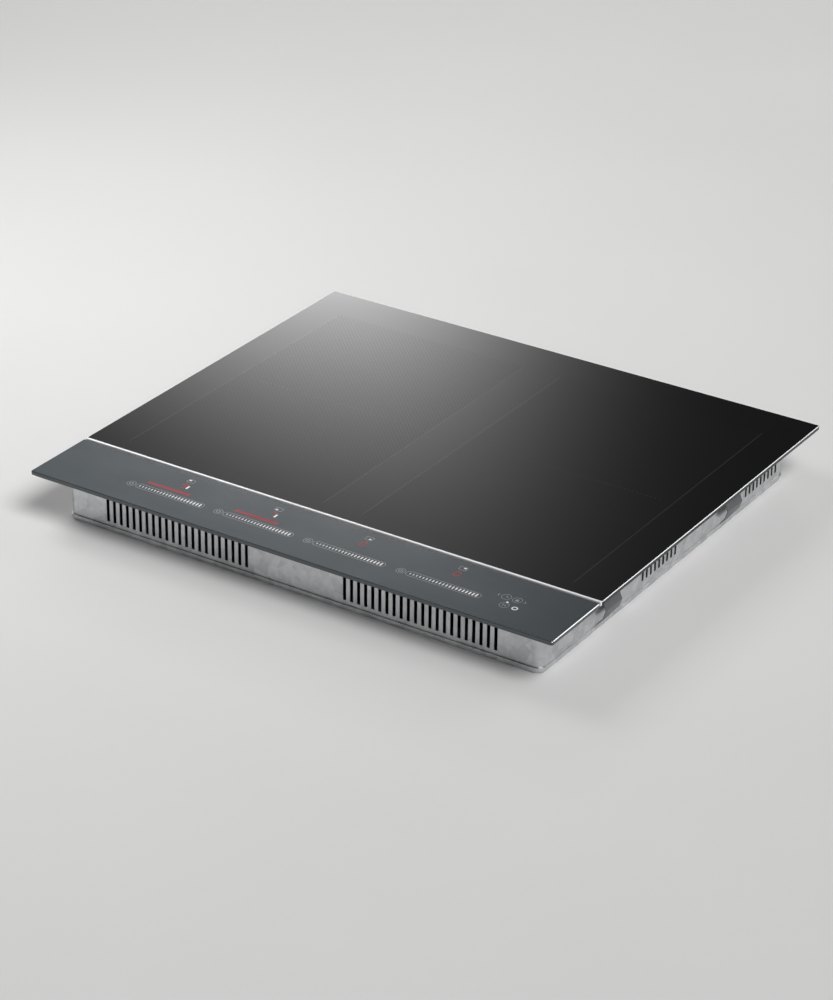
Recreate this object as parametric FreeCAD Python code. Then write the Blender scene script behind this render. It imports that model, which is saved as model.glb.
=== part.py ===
import FreeCAD, Part
import math
import os

# Built-in induction hob.  Millimetres.  +X right, +Y back, +Z up.
# The origin is the centre of the glass outline at the worktop plane, under the rim seal.

os.makedirs("parts", exist_ok=True)
V = FreeCAD.Vector
UP = V(0, 0, 1)

# ---- glass top ----
GLASS_WIDTH = 600.0
GLASS_DEPTH = 530.0
GLASS_THICK = 4.0
GLASS_CORNER = 2.0
GLASS_BEVEL = 0.6
TRIM_CENTRE_Y = -177.2
TRIM_WIDTH = 2.8
TRIM_RISE = 0.5
TRIM_END_INSET = 0.5
TRIM_EDGE_ROUND = 0.6
TRIM_GAP_FRONT = 1.4
TRIM_GAP_BACK = 0.3

# ---- rim seal ----
SEAL_THICK = 1.5
SEAL_INSET = 2.0
SEAL_WIDTH = 10.0
SEAL_CORNER = 3.0

# ---- glass frame and tray ----
CUTOUT_WIDTH = 560.0
CUTOUT_DEPTH = 490.0
FRAME_CUTOUT_GAP = 2.0
FRAME_SHEET = 1.0
FRAME_CORNER = 8.0
FRAME_SKIRT_DROP = 11.0
FRAME_WINDOW_X = 258.0
COIL_WINDOW_Y = (-164.0, 226.0)
CONTROL_WINDOW_Y = (-236.0, -186.0)
WINDOW_CORNER = 4.0
TRAY_WIDTH = 548.0
TRAY_DEPTH = 478.0
TRAY_BASE_Z = -50.5
TRAY_SHEET = 1.0
TRAY_CORNER = 8.0
WALL_CUT_DEPTH = 4.0
BEAD_Z = (-47.5, -44.5)
BEAD_RISE = 1.2

# ---- tray vents ----
VENT_SLOT_WIDTH = 3.6
VENT_PITCH = 8.0
FRONT_VENT_COUNT = 22
FRONT_VENT_Z = (-40.0, -16.0)
FRONT_VENT_CENTRES_X = (-141.0, 141.0)
SIDE_VENT_COUNT = 9
SIDE_VENT_Z = (-38.0, -18.0)
SIDE_VENT_CENTRES_Y = (-20.0, 190.0)
INTAKE_RADIUS = 34.0
INTAKE_SLOT_COUNT = 9
INTAKE_PITCH = 7.4

# ---- screws ----
SCREW_HEAD_RADIUS = 3.5
SCREW_HEAD_HEIGHT = 2.0
SCREW_HEAD_ROUND = 1.2
SCREW_SHANK_RADIUS = 1.5
SCREW_SHANK_LENGTH = 2.8
RECESS_LENGTH = 4.0
RECESS_WIDTH = 0.9
RECESS_DEPTH = 1.2
WALL_SCREW_Z = -6.0
SIDE_SCREWS_Y = (-200.0, 0.0, 200.0)
FRONT_SCREWS_X = (-230.0, 0.0, 230.0)
REAR_SCREWS_X = (-230.0, 230.0)

# ---- worktop clips ----
CLIP_CENTRES_Y = {"front": -120.0, "rear": 120.0}
CLIP_WIDTH = 30.0
CLIP_SHEET = 0.8
CLIP_BEND_ALLOWANCE = 1.2
CLIP_ROOT_Z = -15.0
CLIP_ROOT_OUT = 1.4
CLIP_BULGE_Z = -30.0
CLIP_BULGE_OUT = 8.0
CLIP_TIP_Z = -39.0
CLIP_TIP_OUT = 4.6
BRACKET_SHEET = 1.5
BRACKET_Z = (-14.4, -2.5)
BRACKET_MARGIN = 3.0

# ---- coil decks (right side, the left side is its mirror image) ----
DECK_CENTRE_X = 141.0
COIL_CENTRES_Y = {"front": -64.0, "rear": 123.0}
PAD_GLASS_GAP = 0.3
PAD_THICK = 1.2
PAD_OVERHANG = 2.0
PAD_HOLE_RADIUS = 9.0
LIP_HEIGHT = 3.8
FORMER_BASE_THICK = 1.5
FORMER_LIP = 2.0
FORMER_WIRE_GAP = 0.4
FORMER_FOOT_RADIUS = 4.0
FORMER_FOOT_SPREAD = (62.0, 52.0)
FERRITE_THICK = 4.0
FERRITE_LENGTH = 56.0
FERRITE_WIDTH = 12.0
FERRITE_MIDDLE_RADIUS = 56.0
FERRITE_LONG_ROW_X = (-42.0, -14.0, 14.0, 42.0)
PLATE_THICK = 1.5
PLATE_HALF_WIDTH = 109.0
PLATE_Y = (-160.0, 216.0)
PLATE_CORNER = 10.0
TURN_COUNT = 12
TURN_PITCH = 4.4
STRAND_WIDTH = 3.4
STRAND_HEIGHT = 3.5
TRACK_HALF_STRAIGHT = 20.0
TRACK_INNER_RADIUS = 26.0
SENSOR_FOOT_RADIUS = 7.0
SENSOR_FOOT_HEIGHT = 6.0
SENSOR_TIP_RADIUS = 3.0

# ---- springs, leads and posts ----
SPRING_RADIUS = 5.0
SPRING_WIRE_RADIUS = 0.6
SPRING_TURNS = 3.5
SPRING_PATH_STEPS = 42
SPRING_END_GAP = 0.1
POST_RADIUS = 7.0
POST_TOP_Z = -22.0
POST_STUB_RADIUS = 3.2
POST_STUB_HEIGHT = 5.0
POST_POSITIONS = ((-101.0, -150.0), (101.0, -150.0), (-66.0, 205.0), (101.0, 205.0))
LEAD_RADIUS = 1.3
LEAD_HOLE_RADIUS = 3.0
LEAD_TOP_Z = -1.0
LEAD_POSITIONS = ((-20.0, -72.0), (-20.0, -56.0), (-20.0, 109.0), (-34.0, 109.0))

# ---- boards and their parts (x is measured from the deck centre) ----
CARRIER_HALF_WIDTH = 109.0
CARRIER_Y = (-158.0, 216.0)
CARRIER_THICK = 1.5
CARRIER_CORNER = 5.0
CARRIER_PART_GAP = 1.0
BOARD_HALF_WIDTH = 90.0
BOARD_Y = (-142.0, 113.0)
BOARD_THICK = 1.6
BOARD_BOTTOM_Z = -43.5
STANDOFF_RADIUS = 4.0
STANDOFF_X = (-84.0, 84.0)
STANDOFF_Y = (-136.0, -14.0, 107.0)
SINK_X = (-4.0, 46.0)
SINK_Y = (-110.0, 90.0)
SINK_TOP_Z = -20.0
SINK_BASE = 4.0
SINK_FIN = 1.6
SINK_FIN_COUNT = 9
CHIP_SIZE = (4.8, 15.9, 18.0)
CHIP_ROW_Y = (-90.0, -55.0, -20.0, 15.0, 60.0)
CAPACITOR_SIZE = (26.0, 14.0, 20.0)
CAPACITOR_CORNER = 1.0
CAPACITOR_ROW_X = 72.0
CAPACITOR_ROW_Y = (-105.0, -75.0, -45.0, 30.0, 65.0)
CHOKE_RADIUS = 17.0
CHOKE_HOLE_RADIUS = 8.0
CHOKE_HEIGHT = 14.0
CHOKE_EDGE_ROUND = 3.0
CHOKE_X = -62.0
CHOKE_ROW_Y = (-105.0, -20.0, 35.0)

# ---- fans ----
FAN_CENTRE_Y = 166.0
FAN_HALF = 48.0
FAN_HEIGHT = 27.0
FAN_WALL = 2.0
FAN_CORNER = 6.0
FAN_CHAMBER_RADIUS = 44.5
FAN_INLET_RADIUS = 32.0
FAN_STUB_RADIUS = 9.0
FAN_STUB_DROP = 12.0
IMPELLER_RADIUS = 42.0
IMPELLER_INNER_RADIUS = 32.5
IMPELLER_GAP = 1.2
IMPELLER_DISC = 1.4
IMPELLER_HUB_RADIUS = 14.0
IMPELLER_HUB_BORE = 10.5
IMPELLER_HUB_DROP = 15.0
IMPELLER_BLADES = 28
BLADE_THICK = 1.0
BLADE_SWEEP_DEGREES = 9.0
BLADE_MIDDLE_SHARE = 0.3

# ---- touch controls ----
CARRIER_UI_X = (-214.0, 258.0)
CARRIER_UI_Y = (-236.0, -188.5)
CARRIER_UI_Z = (-8.0, -1.0)
CARRIER_UI_WALL = 1.4
TOUCH_BOARD_MARGIN = 0.3
TOUCH_BOARD_Z = (-4.6, -3.0)
TOUCH_REST_SIZE = 8.0
TOUCH_REST_COUNT = 6
PAD_TOP_GAP = 0.2
PAD_ROW_Y = -229.0
KEY_PAD_SIZE = (8.0, 10.0)
SLIDER_FIRST_X = -195.0
SLIDER_PITCH = 105.3
SLIDER_COUNT = 4
SLIDER_LENGTH = 81.5
SLIDER_PADS = 7
POWER_KEY_OFFSET = -6.2
FUNCTION_KEYS_X = (218.0, 231.0, 244.0)
DISPLAY_SIZE = (12.0, 8.0)
DISPLAY_ROW_Y = -206.0
DISPLAY_OFFSET = 40.5
RIBBON_X = (64.0, 78.0)
RIBBON_THICK = 0.8
RIBBON_TOP_Y = -205.0
RIBBON_END_Y = -136.0
RIBBON_RUN_Z = -39.0

# ---- mains terminal at the rear ----
BOX_X = (-60.0, 60.0)
BOX_FRONT_Y = 178.0
BOX_Z = (-49.5, -15.5)
BOX_WALL = 1.6
DOOR_OPENING_X = (-50.0, 10.0)
DOOR_OPENING_Z = (-44.0, -18.0)
COVER_X = (-55.0, 15.0)
COVER_Z = (-43.6, -13.6)
COVER_GAP = 0.6
COVER_THICK = 2.0
COVER_CORNER = 3.0
COVER_RIB_X = (-38.0, -20.0, -2.0)
COVER_RIB_SIZE = (6.0, 0.8)
COVER_ARM_LAP = 1.0
HINGE_Z = -10.5
HINGE_OUT = 3.4
HINGE_PIN_RADIUS = 1.2
HINGE_KNUCKLE_RADIUS = 2.4
HINGE_BORE_GAP = 0.15
HINGE_SLICE_COUNT = 5
HINGE_SLICE_GAP = 0.3
BLOCK_X = (-50.0, 10.0)
BLOCK_Y = (190.0, 206.0)
BLOCK_Z = (-44.0, -24.0)
BLOCK_WAYS = 5
BLOCK_ENTRY_RADIUS = 2.6
BLOCK_SCREW_RADIUS = 2.8
BLOCK_SCREW_DEPTH = 6.0
BLOCK_SCREW_DROP = 6.2
BUSH_X = 38.0
BUSH_Z = -31.0
BUSH_BORE_RADIUS = 5.5
BUSH_BODY_RADIUS = 8.0
BUSH_FLANGE_RADIUS = 10.5
BUSH_FLANGE_THICK = 2.0
BUSH_LENGTH = 8.0
CLAMP_HALF_WIDTH = 11.0
CLAMP_Y = (214.0, 224.0)
CLAMP_TOP_Z = -21.0
CLAMP_CABLE_GAP = 0.5
MAINS_LEAD_RADIUS = 1.4
LEAD_SLOT_HEIGHT = 8.4
MAINS_LAND_X = 58.0
MAINS_LAND_PITCH = 6.0
MAINS_LAND_Y = 88.0
PLATE_LABEL_X = (120.0, 190.0)
PLATE_LABEL_Z = (-38.0, -14.0)
PLATE_LABEL_THICK = 0.4

# ---- derived ----
GLASS_BOTTOM_Z = SEAL_THICK
GLASS_TOP_Z = GLASS_BOTTOM_Z + GLASS_THICK
TRIM_FRONT_Y = TRIM_CENTRE_Y - TRIM_WIDTH / 2
TRIM_BACK_Y = TRIM_CENTRE_Y + TRIM_WIDTH / 2
TRAY_HALF_X = TRAY_WIDTH / 2
TRAY_HALF_Y = TRAY_DEPTH / 2
TRAY_TOP_Z = GLASS_BOTTOM_Z - FRAME_SHEET
TRAY_FLOOR_Z = TRAY_BASE_Z + TRAY_SHEET
SKIRT_HALF_X = TRAY_HALF_X - TRAY_SHEET
SKIRT_HALF_Y = TRAY_HALF_Y - TRAY_SHEET
PAD_TOP_Z = GLASS_BOTTOM_Z - PAD_GLASS_GAP
PAD_BOTTOM_Z = PAD_TOP_Z - PAD_THICK
FORMER_TOP_Z = PAD_BOTTOM_Z
STRAND_BOTTOM_Z = FORMER_TOP_Z - LIP_HEIGHT
FORMER_BOTTOM_Z = STRAND_BOTTOM_Z - FORMER_BASE_THICK
PLATE_TOP_Z = FORMER_BOTTOM_Z - FERRITE_THICK
PLATE_BOTTOM_Z = PLATE_TOP_Z - PLATE_THICK
TRACK_OUTER_RADIUS = TRACK_INNER_RADIUS + TURN_COUNT * TURN_PITCH + STRAND_WIDTH
BOARD_TOP_Z = BOARD_BOTTOM_Z + BOARD_THICK
CARRIER_TOP_Z = TRAY_FLOOR_Z + CARRIER_THICK
FAN_TOP_Z = TRAY_FLOOR_Z + FAN_HEIGHT
CHAMBER_TOP_Z = FAN_TOP_Z - FAN_WALL
HINGE_Y = TRAY_HALF_Y + HINGE_OUT
SLIDER_STARTS_X = [SLIDER_FIRST_X + index * SLIDER_PITCH for index in range(SLIDER_COUNT)]

# ---- tolerances for picking edges ----
SAME_HEIGHT = 1e-4
UPRIGHT = 0.9


# ---- shape helpers ----
def block(x, y, z):
    """A box from three (low, high) pairs."""
    return Part.makeBox(x[1] - x[0], y[1] - y[0], z[1] - z[0], V(x[0], y[0], z[0]))


def plate(x, y, z, radius):
    """A box with rounded upright corners."""
    solid = block(x, y, z)
    uprights = [e for e in solid.Edges if abs(e.tangentAt(e.FirstParameter).z) > UPRIGHT]
    return solid.makeFillet(radius, uprights)


def centred(half):
    return (-half, half)


def around(middle, size):
    return (middle - size / 2, middle + size / 2)


def on_circle(radius, angle, z):
    return V(radius * math.cos(angle), radius * math.sin(angle), z)


def rod(centre, radius, length, axis=UP):
    return Part.makeCylinder(radius, length, centre, axis)


def edges_at_height(solid, z):
    """Edges that lie wholly in the plane at height z."""
    def level(edge):
        box = edge.BoundBox
        return abs(box.ZMin - z) < SAME_HEIGHT and abs(box.ZMax - z) < SAME_HEIGHT
    return [edge for edge in solid.Edges if level(edge)]


def track_outline(radius):
    """Racetrack outline made of two half circles and two straights."""
    s = TRACK_HALF_STRAIGHT
    right = Part.Arc(V(s, -radius, 0), V(s + radius, 0, 0), V(s, radius, 0)).toShape()
    top = Part.makeLine(V(s, radius, 0), V(-s, radius, 0))
    left = Part.Arc(V(-s, radius, 0), V(-s - radius, 0, 0), V(-s, -radius, 0)).toShape()
    bottom = Part.makeLine(V(-s, -radius, 0), V(s, -radius, 0))
    return Part.Wire([right, top, left, bottom])


def track_prism(radius, z):
    return Part.Face(track_outline(radius)).extrude(V(0, 0, z[1] - z[0])).translated(V(0, 0, z[0]))


def profile_along_x(points, x):
    """Closed (y, z) outline pulled along X."""
    corners = [V(x[0], y, z) for y, z in points]
    return Part.Face(Part.makePolygon(corners + corners[:1])).extrude(V(x[1] - x[0], 0, 0))


def profile_along_y(points, y):
    """Closed (x, z) outline pulled along Y."""
    corners = [V(px, y[0], pz) for px, pz in points]
    return Part.Face(Part.makePolygon(corners + corners[:1])).extrude(V(0, y[1] - y[0], 0))


def soft_wire(points, start_heading, end_heading, radius):
    """Round lead that follows a smooth curve through the points."""
    curve = Part.BSplineCurve()
    curve.interpolate(Points=points, InitialTangent=start_heading, FinalTangent=end_heading)
    spine = Part.Wire(curve.toShape())
    section = Part.Wire(Part.makeCircle(radius, points[0], start_heading))
    return spine.makePipeShell([section], True, True)


def joined(solids):
    """One fused body."""
    first = solids[0]
    return first.fuse(solids[1:]).removeSplitter() if len(solids) > 1 else first


def group(solids):
    """Identical or grouped pieces that share one node."""
    return Part.makeCompound(solids)


def mirrored(shape):
    return shape.mirror(V(0, 0, 0), V(1, 0, 0))


def at_coil(shape, place):
    return shape.translated(V(DECK_CENTRE_X, COIL_CENTRES_Y[place], 0))


def deck_x(pair):
    return (DECK_CENTRE_X + pair[0], DECK_CENTRE_X + pair[1])


def write_node(name, shape):
    shape.exportStep("parts/" + name + ".step")


def write_pair(name, right_shape):
    """Right part and its mirror image on the left."""
    write_node(name + "_right", right_shape)
    write_node(name + "_left", mirrored(right_shape))


# ---- glass top ----
def glass_pane(y):
    pane = plate(centred(GLASS_WIDTH / 2), y, (GLASS_BOTTOM_Z, GLASS_TOP_Z), GLASS_CORNER)
    return pane.makeChamfer(GLASS_BEVEL, edges_at_height(pane, GLASS_TOP_Z))


def cooking_glass():
    return glass_pane((TRIM_BACK_Y + TRIM_GAP_BACK, GLASS_DEPTH / 2))


def control_glass():
    return glass_pane((-GLASS_DEPTH / 2, TRIM_FRONT_Y - TRIM_GAP_FRONT))


def trim_strip():
    top = GLASS_TOP_Z + TRIM_RISE
    half = GLASS_WIDTH / 2 - TRIM_END_INSET
    strip = block(centred(half), (TRIM_FRONT_Y, TRIM_BACK_Y), (GLASS_BOTTOM_Z, top))
    return strip.makeFillet(TRIM_EDGE_ROUND, edges_at_height(strip, top))


def worktop_seal():
    z = (0.0, SEAL_THICK)
    outer_x = GLASS_WIDTH / 2 - SEAL_INSET
    outer_y = GLASS_DEPTH / 2 - SEAL_INSET
    outer = plate(centred(outer_x), centred(outer_y), z, SEAL_CORNER)
    inner = plate(centred(outer_x - SEAL_WIDTH), centred(outer_y - SEAL_WIDTH), z, SEAL_CORNER)
    return outer.cut(inner)


# ---- case ----
def screw(seat, axis):
    """Pan-head cross screw whose head sits on the seat and points along the axis."""
    head = rod(V(0, 0, 0), SCREW_HEAD_RADIUS, SCREW_HEAD_HEIGHT)
    head = head.makeFillet(SCREW_HEAD_ROUND, edges_at_height(head, SCREW_HEAD_HEIGHT))
    shank = rod(V(0, 0, -SCREW_SHANK_LENGTH), SCREW_SHANK_RADIUS, SCREW_SHANK_LENGTH)
    depth = (SCREW_HEAD_HEIGHT - RECESS_DEPTH, SCREW_HEAD_HEIGHT)
    long_way = block(centred(RECESS_LENGTH / 2), centred(RECESS_WIDTH / 2), depth)
    cross_way = block(centred(RECESS_WIDTH / 2), centred(RECESS_LENGTH / 2), depth)
    solid = head.fuse(shank).cut(long_way).cut(cross_way)
    solid.Placement = FreeCAD.Placement(seat, FreeCAD.Rotation(UP, axis))
    return solid


def case_screws():
    solids = []
    for side in (-1, 1):
        out = V(side, 0, 0)
        for y in SIDE_SCREWS_Y:
            solids.append(screw(V(side * TRAY_HALF_X, y, WALL_SCREW_Z), out))
        for y in CLIP_CENTRES_Y.values():
            bracket_face = side * (TRAY_HALF_X + BRACKET_SHEET)
            solids.append(screw(V(bracket_face, y, sum(BRACKET_Z) / 2), out))
    for x in FRONT_SCREWS_X:
        solids.append(screw(V(x, -TRAY_HALF_Y, WALL_SCREW_Z), V(0, -1, 0)))
    for x in REAR_SCREWS_X:
        solids.append(screw(V(x, TRAY_HALF_Y, WALL_SCREW_Z), V(0, 1, 0)))
    return group(solids)


def glass_frame(screws):
    half_x = CUTOUT_WIDTH / 2 - FRAME_CUTOUT_GAP
    half_y = CUTOUT_DEPTH / 2 - FRAME_CUTOUT_GAP
    flange_z = (TRAY_TOP_Z, GLASS_BOTTOM_Z)
    flange = plate(centred(half_x), centred(half_y), flange_z, FRAME_CORNER)
    for window_y in (COIL_WINDOW_Y, CONTROL_WINDOW_Y):
        flange = flange.cut(plate(centred(FRAME_WINDOW_X), window_y, flange_z, WINDOW_CORNER))
    skirt_z = (GLASS_BOTTOM_Z - FRAME_SKIRT_DROP, TRAY_TOP_Z)
    skirt_radius = TRAY_CORNER - TRAY_SHEET
    skirt = plate(centred(SKIRT_HALF_X), centred(SKIRT_HALF_Y), skirt_z, skirt_radius)
    inside = plate(centred(SKIRT_HALF_X - FRAME_SHEET), centred(SKIRT_HALF_Y - FRAME_SHEET), skirt_z,
                   skirt_radius - FRAME_SHEET)
    return flange.fuse(skirt.cut(inside)).removeSplitter().cut(screws)


def vent_row_x(centre_x, wall_y, count, z):
    """Upright slots side by side through a front or rear wall."""
    first = centre_x - (count - 1) * VENT_PITCH / 2
    slots = []
    for index in range(count):
        x = around(first + index * VENT_PITCH, VENT_SLOT_WIDTH)
        slots.append(block(x, around(wall_y, WALL_CUT_DEPTH), z))
    return slots


def vent_row_y(centre_y, wall_x, count, z):
    """Upright slots side by side through a side wall."""
    first = centre_y - (count - 1) * VENT_PITCH / 2
    slots = []
    for index in range(count):
        y = around(first + index * VENT_PITCH, VENT_SLOT_WIDTH)
        slots.append(block(around(wall_x, WALL_CUT_DEPTH), y, z))
    return slots


def intake_slots(centre_x):
    """Parallel slots in the floor that fill a circle under a fan."""
    slots = []
    for index in range(INTAKE_SLOT_COUNT):
        offset = (index - (INTAKE_SLOT_COUNT - 1) / 2) * INTAKE_PITCH
        half_length = math.sqrt(INTAKE_RADIUS ** 2 - offset ** 2)
        y = around(FAN_CENTRE_Y + offset, VENT_SLOT_WIDTH)
        slots.append(block(around(centre_x, 2 * half_length), y, (TRAY_BASE_Z, TRAY_FLOOR_Z)))
    return slots


def hinge_slice(index):
    """X range of one knuckle of the cover hinge."""
    pitch = (COVER_X[1] - COVER_X[0]) / HINGE_SLICE_COUNT
    start = COVER_X[0] + index * pitch
    return (start + HINGE_SLICE_GAP / 2, start + pitch - HINGE_SLICE_GAP / 2)


def knuckle(x):
    centre = V(x[0], HINGE_Y, HINGE_Z)
    return rod(centre, HINGE_KNUCKLE_RADIUS, x[1] - x[0], V(1, 0, 0))


def tray_knuckles():
    """Hinge knuckles that stand off the rear wall, with their pin bores."""
    solids = []
    for index in range(0, HINGE_SLICE_COUNT, 2):
        x = hinge_slice(index)
        web_z = around(HINGE_Z, 2 * HINGE_KNUCKLE_RADIUS)
        web = block(x, (TRAY_HALF_Y - TRAY_SHEET / 2, HINGE_Y), web_z)
        solids.append(web.fuse(knuckle(x)))
    pin = hinge_pin()
    return [solid.cut(pin) for solid in solids]


def hinge_pin():
    return rod(V(COVER_X[0], HINGE_Y, HINGE_Z), HINGE_PIN_RADIUS, COVER_X[1] - COVER_X[0], V(1, 0, 0))


def base_tray(screws):
    z = (TRAY_BASE_Z, TRAY_TOP_Z)
    inside_z = (TRAY_FLOOR_Z, TRAY_TOP_Z)
    shell = plate(centred(TRAY_HALF_X), centred(TRAY_HALF_Y), z, TRAY_CORNER)
    bead = plate(centred(TRAY_HALF_X + BEAD_RISE), centred(TRAY_HALF_Y + BEAD_RISE), BEAD_Z,
                 TRAY_CORNER + BEAD_RISE)
    inside = plate(centred(SKIRT_HALF_X), centred(SKIRT_HALF_Y), inside_z, TRAY_CORNER - TRAY_SHEET)
    shell = shell.fuse(bead).cut(inside)
    cutters = []
    for centre_x in FRONT_VENT_CENTRES_X:
        cutters += vent_row_x(centre_x, -TRAY_HALF_Y, FRONT_VENT_COUNT, FRONT_VENT_Z)
        cutters += intake_slots(centre_x)
    for wall_x in centred(TRAY_HALF_X):
        for centre_y in SIDE_VENT_CENTRES_Y:
            cutters += vent_row_y(centre_y, wall_x, SIDE_VENT_COUNT, SIDE_VENT_Z)
    rear_wall = around(TRAY_HALF_Y, WALL_CUT_DEPTH)
    cutters.append(block(DOOR_OPENING_X, rear_wall, DOOR_OPENING_Z))
    cutters.append(rod(V(BUSH_X, rear_wall[0], BUSH_Z), BUSH_BODY_RADIUS, WALL_CUT_DEPTH, V(0, 1, 0)))
    return shell.cut(cutters).fuse(tray_knuckles()).cut(screws)


def rating_plate():
    y = (TRAY_HALF_Y, TRAY_HALF_Y + PLATE_LABEL_THICK)
    return block(PLATE_LABEL_X, y, PLATE_LABEL_Z)


# ---- worktop clips ----
def clip_brackets(screws):
    solids = []
    for side in (-1, 1):
        x = sorted((side * TRAY_HALF_X, side * (TRAY_HALF_X + BRACKET_SHEET)))
        for centre_y in CLIP_CENTRES_Y.values():
            y = around(centre_y, CLIP_WIDTH + 2 * BRACKET_MARGIN)
            solids.append(block(x, y, BRACKET_Z).cut(screws))
    return group(solids)


def clip(place):
    """Bent spring leaf on the right wall: it bulges out and comes back in."""
    x = TRAY_HALF_X
    t = CLIP_SHEET
    outline = [
        (x + CLIP_ROOT_OUT - t / 2, CLIP_ROOT_Z),
        (x + CLIP_ROOT_OUT + t / 2, CLIP_ROOT_Z),
        (x + CLIP_BULGE_OUT, CLIP_BULGE_Z),
        (x + CLIP_TIP_OUT + t / 2, CLIP_TIP_Z),
        (x + CLIP_TIP_OUT - t / 2, CLIP_TIP_Z),
        (x + CLIP_BULGE_OUT - CLIP_BEND_ALLOWANCE * t, CLIP_BULGE_Z),
    ]
    return profile_along_y(outline, around(CLIP_CENTRES_Y[place], CLIP_WIDTH))


# ---- coil decks ----
def winding():
    """One flat spiral of stranded wire on a racetrack path, as a single closed outline."""
    s = TRACK_HALF_STRAIGHT
    half_step = TURN_PITCH / 2
    sides = ([], [])
    for edges, shift in zip(sides, (-STRAND_WIDTH / 2, STRAND_WIDTH / 2)):
        for turn in range(TURN_COUNT):
            low = TRACK_INNER_RADIUS + STRAND_WIDTH / 2 + shift + turn * TURN_PITCH
            high = low + half_step
            last = low + TURN_PITCH
            middle_right = V(s + (low + high) / 2, (high - low) / 2, 0)
            middle_left = V(-s - (high + last) / 2, (high - last) / 2, 0)
            edges.append(Part.Arc(V(s, -low, 0), middle_right, V(s, high, 0)).toShape())
            edges.append(Part.makeLine(V(s, high, 0), V(-s, high, 0)))
            edges.append(Part.Arc(V(-s, high, 0), middle_left, V(-s, -last, 0)).toShape())
            if turn < TURN_COUNT - 1:
                edges.append(Part.makeLine(V(-s, -last, 0), V(s, -last, 0)))
    inner, outer = sides
    start_cap = Part.makeLine(inner[0].Vertexes[0].Point, outer[0].Vertexes[0].Point)
    end_cap = Part.makeLine(inner[-1].Vertexes[-1].Point, outer[-1].Vertexes[-1].Point)
    outline = Part.Wire(Part.__sortEdges__(inner + [end_cap] + outer + [start_cap]))
    strand = Part.Face(outline).extrude(V(0, 0, STRAND_HEIGHT))
    return strand.translated(V(0, 0, STRAND_BOTTOM_Z))


def coil_former():
    """Racetrack tray with an inner and an outer lip, on four feet."""
    outer = TRACK_OUTER_RADIUS + FORMER_LIP + FORMER_WIRE_GAP
    inner = TRACK_INNER_RADIUS - FORMER_LIP - FORMER_WIRE_GAP
    body = track_prism(outer, (FORMER_BOTTOM_Z, FORMER_TOP_Z))
    body = body.cut(track_prism(inner, (FORMER_BOTTOM_Z, FORMER_TOP_Z)))
    channel = track_prism(outer - FORMER_LIP, (STRAND_BOTTOM_Z, FORMER_TOP_Z))
    channel = channel.cut(track_prism(inner + FORMER_LIP, (STRAND_BOTTOM_Z, FORMER_TOP_Z)))
    body = body.cut(channel)
    feet = []
    for x in centred(FORMER_FOOT_SPREAD[0]):
        for y in centred(FORMER_FOOT_SPREAD[1]):
            feet.append(rod(V(x, y, PLATE_TOP_Z), FORMER_FOOT_RADIUS, FERRITE_THICK))
    return joined([body] + feet)


def ferrite_bars():
    z = (PLATE_TOP_Z, FORMER_BOTTOM_Z)
    bars = []
    for place in COIL_CENTRES_Y:
        for y in centred(FERRITE_MIDDLE_RADIUS):
            for x in FERRITE_LONG_ROW_X:
                bar = block(around(x, FERRITE_WIDTH), around(y, FERRITE_LENGTH), z)
                bars.append(at_coil(bar, place))
        for x in centred(TRACK_HALF_STRAIGHT + FERRITE_MIDDLE_RADIUS):
            bar = block(around(x, FERRITE_LENGTH), around(0, FERRITE_WIDTH), z)
            bars.append(at_coil(bar, place))
    return group(bars)


def glass_pads():
    pads = []
    for place in COIL_CENTRES_Y:
        pad = track_prism(TRACK_OUTER_RADIUS + PAD_OVERHANG, (PAD_BOTTOM_Z, PAD_TOP_Z))
        hole = rod(V(0, 0, PAD_BOTTOM_Z), PAD_HOLE_RADIUS, PAD_THICK)
        pads.append(at_coil(pad.cut(hole), place))
    return group(pads)


def heat_sensors():
    sensors = []
    for place in COIL_CENTRES_Y:
        foot = rod(V(0, 0, PLATE_TOP_Z), SENSOR_FOOT_RADIUS, SENSOR_FOOT_HEIGHT)
        tip_base = PLATE_TOP_Z + SENSOR_FOOT_HEIGHT
        tip = rod(V(0, 0, tip_base), SENSOR_TIP_RADIUS, PAD_TOP_Z - tip_base)
        sensors.append(at_coil(joined([foot, tip]), place))
    return group(sensors)


def coil_plate():
    sheet = plate(deck_x(centred(PLATE_HALF_WIDTH)), PLATE_Y, (PLATE_BOTTOM_Z, PLATE_TOP_Z), PLATE_CORNER)
    for x, y in LEAD_POSITIONS:
        hole = rod(V(DECK_CENTRE_X + x, y, PLATE_BOTTOM_Z), LEAD_HOLE_RADIUS, PLATE_THICK)
        sheet = sheet.cut(hole)
    return sheet


def coil_leads():
    leads = []
    for x, y in LEAD_POSITIONS:
        leads.append(rod(V(DECK_CENTRE_X + x, y, BOARD_TOP_Z), LEAD_RADIUS, LEAD_TOP_Z - BOARD_TOP_Z))
    return group(leads)


def plate_springs():
    start_z = POST_TOP_Z + SPRING_WIRE_RADIUS
    height = PLATE_BOTTOM_Z - SPRING_WIRE_RADIUS - SPRING_END_GAP - start_z
    path = []
    for index in range(SPRING_PATH_STEPS + 1):
        share = index / SPRING_PATH_STEPS
        angle = 2 * math.pi * SPRING_TURNS * share
        path.append(on_circle(SPRING_RADIUS, angle, start_z + height * share))
    rise = height / (2 * math.pi * SPRING_TURNS)
    start_heading = on_circle(SPRING_RADIUS, math.pi / 2, rise).normalize()
    end_angle = 2 * math.pi * SPRING_TURNS
    end_heading = on_circle(SPRING_RADIUS, end_angle + math.pi / 2, rise).normalize()
    coil = soft_wire(path, start_heading, end_heading, SPRING_WIRE_RADIUS)
    return group([coil.translated(V(DECK_CENTRE_X + x, y, 0)) for x, y in POST_POSITIONS])


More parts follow.
